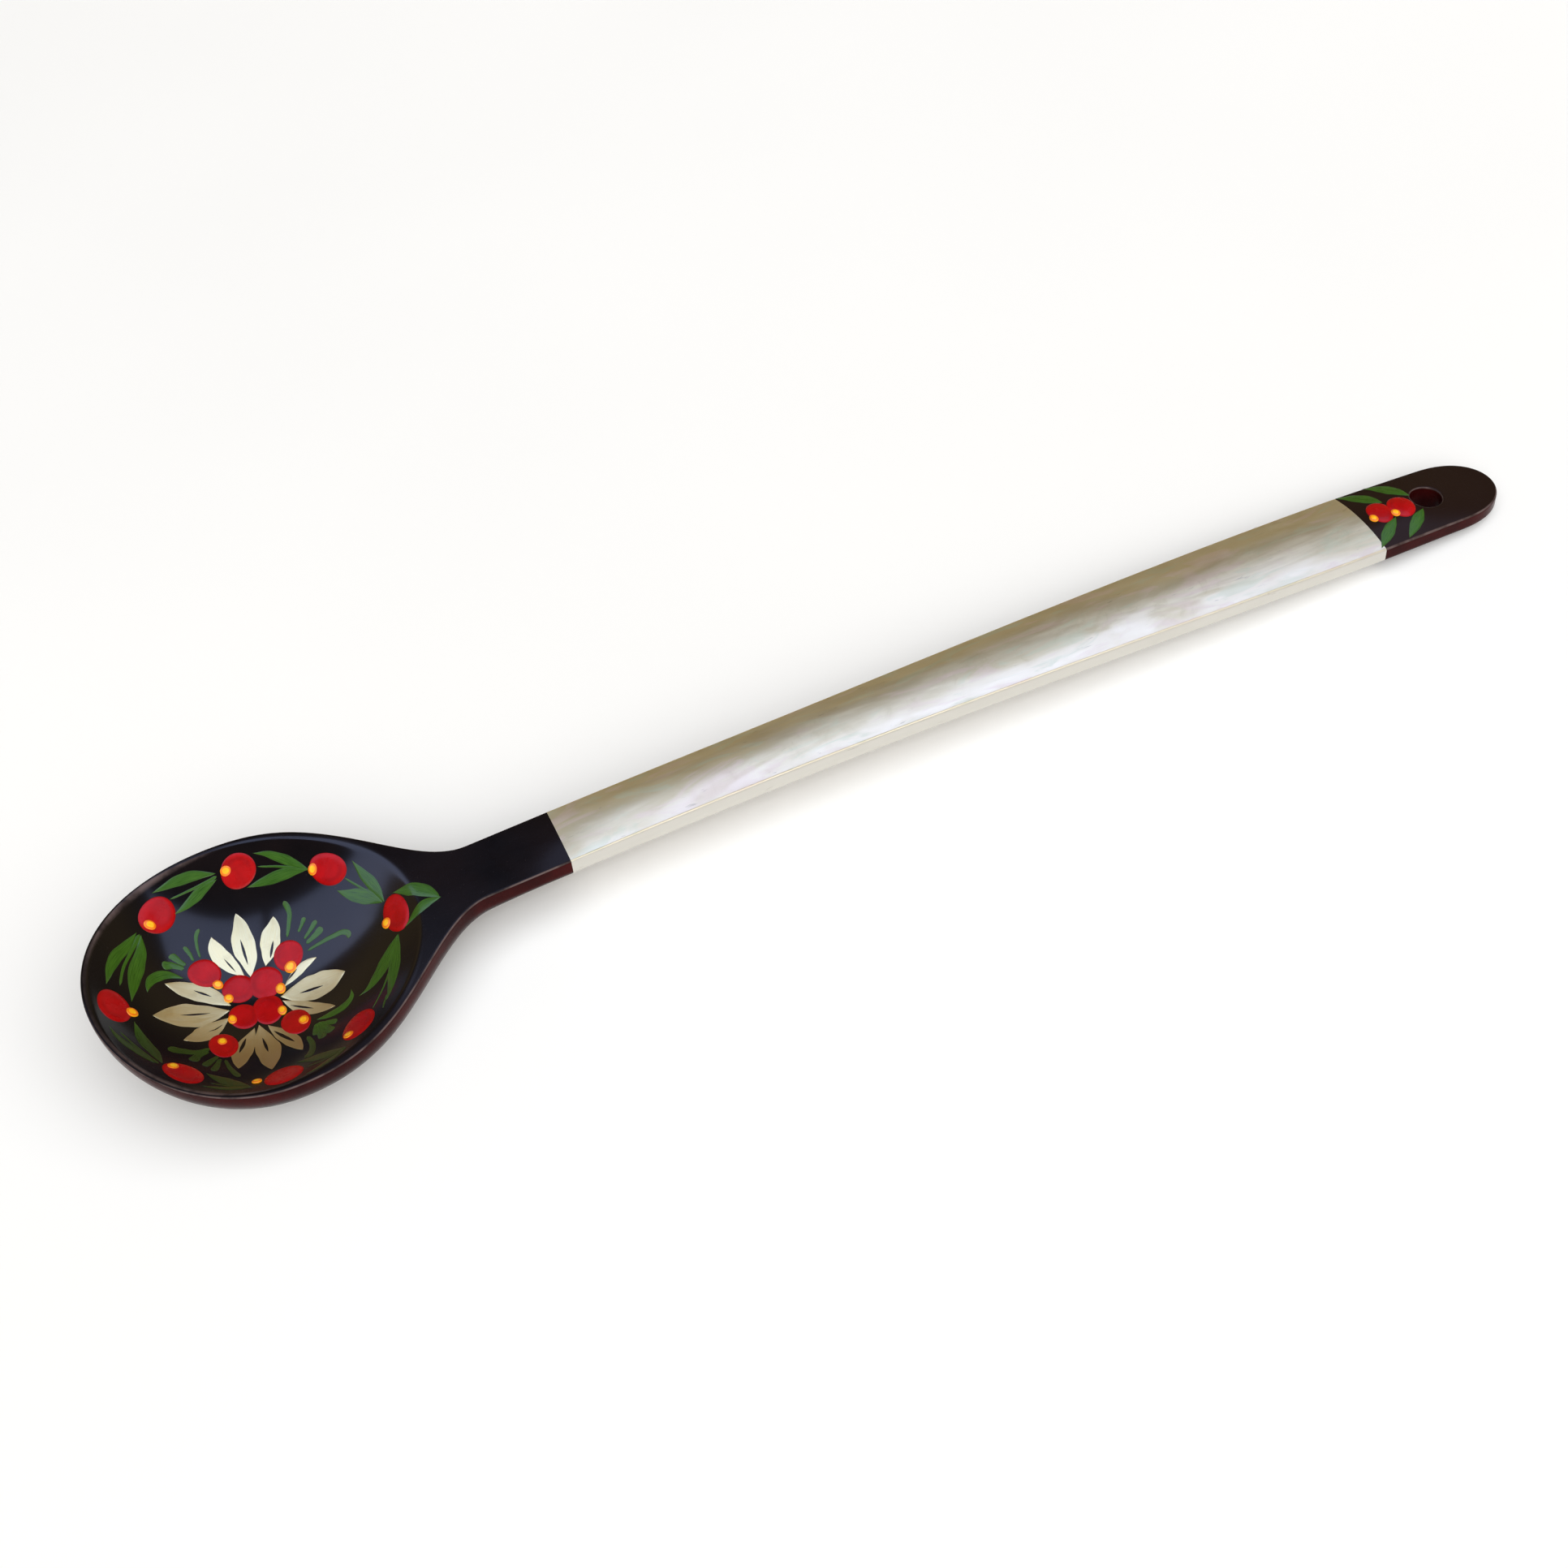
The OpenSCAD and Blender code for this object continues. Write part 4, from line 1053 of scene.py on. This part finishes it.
def red_paint():
    g = Graph("red_paint")
    rho, theta, seed = (g.attribute(k) for k in ("rho", "theta", "seed"))
    red = g.toned(rgb(155, 2, 5), (g.noise(300, 3.0, 0.6, 0.3), 0.3, 0.7, 1.0, (174, 5, 9)))
    ring = g.times(g.span(rho, 0.45, 0.66), g.span(rho, 0.86, 0.7))
    turned = g.plus(theta, g.times(seed, 1.7))
    lit = g.span(g.worked("COSINE", turned), -0.2, 0.9, 0.0, 0.4)
    red = g.blend(g.times(ring, lit), red, rgb(126, 2, 8))
    red = g.toned(red, (rho, 0.86, 1.0, 0.5, (134, 3, 10)))
    return g.set(
        Base_Color=red,
        Roughness=g.span(g.noise(240, 3.0, 0.6), 0.3, 0.7, 0.22, 0.34),
        Specular_IOR_Level=0.15,
        Coat_Weight=g.less(0.13, g.times(g.near_wall(), 0.11)),
        Coat_Roughness=0.09,
        Normal=g.raised(g.noise(700, 3.0, 0.55), 0.00001, 0.5),
    )


def yellow_paint():
    g = Graph("yellow_paint")
    rho = g.attribute("rho")
    yellow = g.toned(rgb(248, 170, 8), (g.noise(900, 2.0, 0.6), 0.35, 0.7, 1.0, (252, 196, 30)))
    ring = g.times(g.span(rho, 0.5, 0.72), g.span(rho, 1.0, 0.84, 0.3, 1.0))
    yellow = g.blend(g.times(ring, 0.8), yellow, rgb(226, 84, 10))
    return g.set(
        Base_Color=yellow,
        Roughness=g.span(g.noise(500, 2.0, 0.6), 0.3, 0.7, 0.24, 0.36),
        Specular_IOR_Level=0.3,
        Coat_Weight=0.25,
        Coat_Roughness=0.08,
        Normal=g.raised(g.noise(1500, 2.0, 0.6), 0.000008, 0.5),
    )


def green_paint():
    g = Graph("green_paint")
    bristles, near = g.bristles(2.5, 5.0, 1.7, 0.3), g.near_wall()
    matt = g.plus(near, g.tip_end(), True)
    green = g.toned(
        rgb(34, 72, 6),
        (bristles, 0.3, 0.7, 1.0, (56, 98, 14)),
        (g.worked("ABSOLUTE", g.attribute("across")), 0.6, 1.0, 0.4, (40, 66, 20)),
        (g.attribute("along"), 0.8, 1.0, 0.3, (74, 92, 40)),
    )
    # painted shade: green darkened to olive down the hollow's near wall
    green = g.blend(g.times(near, 0.75), green, rgb(30, 36, 4))
    return g.set(
        Base_Color=green,
        Roughness=g.span(bristles, 0.3, 0.7, 0.26, 0.4),
        Specular_IOR_Level=0.3,
        Coat_Weight=g.less(0.38, g.times(matt, 0.33)),
        Coat_Roughness=0.09,
        Normal=brushed_relief(g, bristles, 0.5, 1800),
    )


def bare_wood():
    g = Graph("limewood")
    rings = g.noise(1.0, 3.0, 0.55, 0.8, g.stretched(9, 260, 260))
    pores = g.noise(1.0, 3.0, 0.6, 0.0, g.stretched(90, 2200, 2200))
    wood = g.toned(
        rgb(205, 168, 112),
        (rings, 0.3, 0.7, 1.0, (228, 198, 148)),
        (pores, 0.55, 0.75, 0.5, (160, 122, 74)),
    )
    roughness = g.span(pores, 0.3, 0.7, 0.55, 0.75)
    return g.set(Base_Color=wood, Roughness=roughness, Normal=g.raised(pores, 0.00002, 0.5))


black_lacquer().on(bowl_ground, tip_ground, slits)
silver_lacquer().on(handle_ground)
petal_paint().on(petals)
red_paint().on(garland_berries, outer_berries, heart_berries, tip_berries)
yellow_paint().on(garland_dots, outer_dots, heart_dots, tip_dots)
green_paint().on(garland_leaves, garland_stems, grass, curled, tip_leaves)
bare_wood().on(blank)

# ---- Studio ----
FLOOR_SIZE = 60.0


def studio_floor():
    mesh = bpy.data.meshes.new("studio_floor")
    h = FLOOR_SIZE / 2
    mesh.from_pydata([(-h, -h, 0), (h, -h, 0), (h, h, 0), (-h, h, 0)], [], [(0, 1, 2, 3)])
    floor = linked("studio_floor", mesh)
    g = Graph("studio_floor")
    pale = g.toned(rgb(246, 246, 246), (g.noise(4.0, 2.0), 0.3, 0.7, 1.0, (249, 249, 249)))
    g.set(Base_Color=pale, Roughness=1.0, Specular_IOR_Level=0.0).on(floor)


SKY_BLUE = (0.52, 0.62, 1.0)
WARM = (1.0, 0.99, 0.985)
NEUTRAL = (0.955, 0.98, 1.0)

WINDOW_HEIGHT = 1.0
WINDOWS = {  # place on the table's plane, size, radiance and turn of each, in metres and degrees
    "window_left": ((-0.75, 0.62), (1.1, 0.8), 2.2, -14),
    "window_right": ((0.375, 0.36), (1.15, 0.8), 2.1, -10),
}
SUN_ENERGY, SUN_ANGLE = 2.95, 100
SUN_TILT, SUN_TURN = 32, 6

BACKDROP = (0.9, 0.9, 0.9, 1)  # what the camera sees of the room
ROOM_DIM = 0.1, (0.12, 0.085, 0.05, 1)  # what the spoon feels of it, by height
ROOM_LOW = 0.4, (0.31, 0.222, 0.1, 1)
ROOM_HIGH = 0.75, (0.05, 0.045, 0.045, 1)


def softbox(name, place, aim, size, radiance, colour, turn=0.0, felt=True):
    """A lit rectangle; one that isn't felt shows only in what is polished."""
    light = bpy.data.lights.new(name, "AREA")
    light.shape = "RECTANGLE"
    light.size, light.size_y = size
    light.energy = radiance * math.pi * size[0] * size[1]
    light.color = colour
    lamp = linked(name, light)
    way = Vector(aim) - Vector(place)
    facing = way.to_track_quat("-Z", "Y").to_matrix().to_4x4()
    spun = Matrix.Rotation(math.radians(turn), 4, "Z")
    lamp.matrix_world = Matrix.Translation(place) @ facing @ spun
    lamp.visible_diffuse = felt


def room():
    """A dim warm room, brighter low down, with a pale backdrop for the camera."""
    sky = bpy.data.worlds.new("studio")
    bpy.context.scene.world = sky
    sky.use_nodes = True
    tree = sky.node_tree
    tree.nodes.clear()

    def add(kind):
        return tree.nodes.new("ShaderNode" + kind)

    out, mixer, path = add("OutputWorld"), add("MixShader"), add("LightPath")
    seen, felt = add("Background"), add("Background")
    seen.inputs[0].default_value, seen.inputs[1].default_value = BACKDROP, 1.0
    split, ramp = add("SeparateXYZ"), add("ValToRGB")
    ramp.color_ramp.interpolation = "EASE"
    low, high = ramp.color_ramp.elements
    low.position, low.color = ROOM_LOW
    high.position, high.color = ROOM_HIGH
    ramp.color_ramp.elements.new(ROOM_DIM[0]).color = ROOM_DIM[1]
    for source, target in (
        (add("TexCoord").outputs["Generated"], split.inputs[0]),
        (split.outputs[2], ramp.inputs[0]),
        (ramp.outputs[0], felt.inputs[0]),
        (path.outputs["Is Camera Ray"], mixer.inputs[0]),
        (felt.outputs[0], mixer.inputs[1]),
        (seen.outputs[0], mixer.inputs[2]),
        (mixer.outputs[0], out.inputs[0]),
    ):
        tree.links.new(source, target)


def studio_light():
    """Soft daylight, two bluish windows overhead and a softbox in front."""
    for name, ((x, y), size, radiance, turn) in WINDOWS.items():
        place, aim = (x, y, WINDOW_HEIGHT), (x, y, 0.0)
        softbox(name, place, aim, size, radiance, SKY_BLUE, turn, felt=False)
    softbox("softbox_front", (0.1, -1.5, 1.2), (0, 0, 0), (2.6, 1.2), 1.7, WARM)
    day = bpy.data.lights.new("daylight", "SUN")
    day.energy, day.angle, day.color = SUN_ENERGY, math.radians(SUN_ANGLE), NEUTRAL
    lamp = linked("daylight", day)
    lamp.rotation_euler = (math.radians(SUN_TILT), 0, math.radians(SUN_TURN))
    lamp.visible_glossy = False


studio_floor()
room()
studio_light()

# ---- Camera ----
CAMERA_PLACE = (-0.0861, -0.2729, 0.3064)
CAMERA_AZIMUTH, CAMERA_DOWN, CAMERA_ROLL = 14.77, 47.14, -12.15
CAMERA_LENS, CAMERA_SENSOR = 48.32, 36.0
CAMERA_NEAREST, CAMERA_FARTHEST = 0.01, 100.0


def camera():
    a, e, r = (math.radians(t) for t in (CAMERA_AZIMUTH, CAMERA_DOWN, CAMERA_ROLL))
    right = Vector((math.cos(a), -math.sin(a), 0))
    up = Vector((math.sin(a) * math.sin(e), math.cos(a) * math.sin(e), math.cos(e)))
    ahead = Vector((math.sin(a) * math.cos(e), math.cos(a) * math.cos(e), -math.sin(e)))
    across = right * math.cos(r) + up * math.sin(r)
    over = up * math.cos(r) - right * math.sin(r)
    data = bpy.data.cameras.new("camera")
    data.lens, data.sensor_width = CAMERA_LENS, CAMERA_SENSOR
    data.clip_start, data.clip_end = CAMERA_NEAREST, CAMERA_FARTHEST
    eye = linked("camera", data)
    turn = Matrix((across, over, -ahead)).transposed().to_4x4()
    eye.matrix_world = Matrix.Translation(CAMERA_PLACE) @ turn
    bpy.context.scene.camera = eye


camera()
bpy.context.scene.view_settings.view_transform = "Standard"
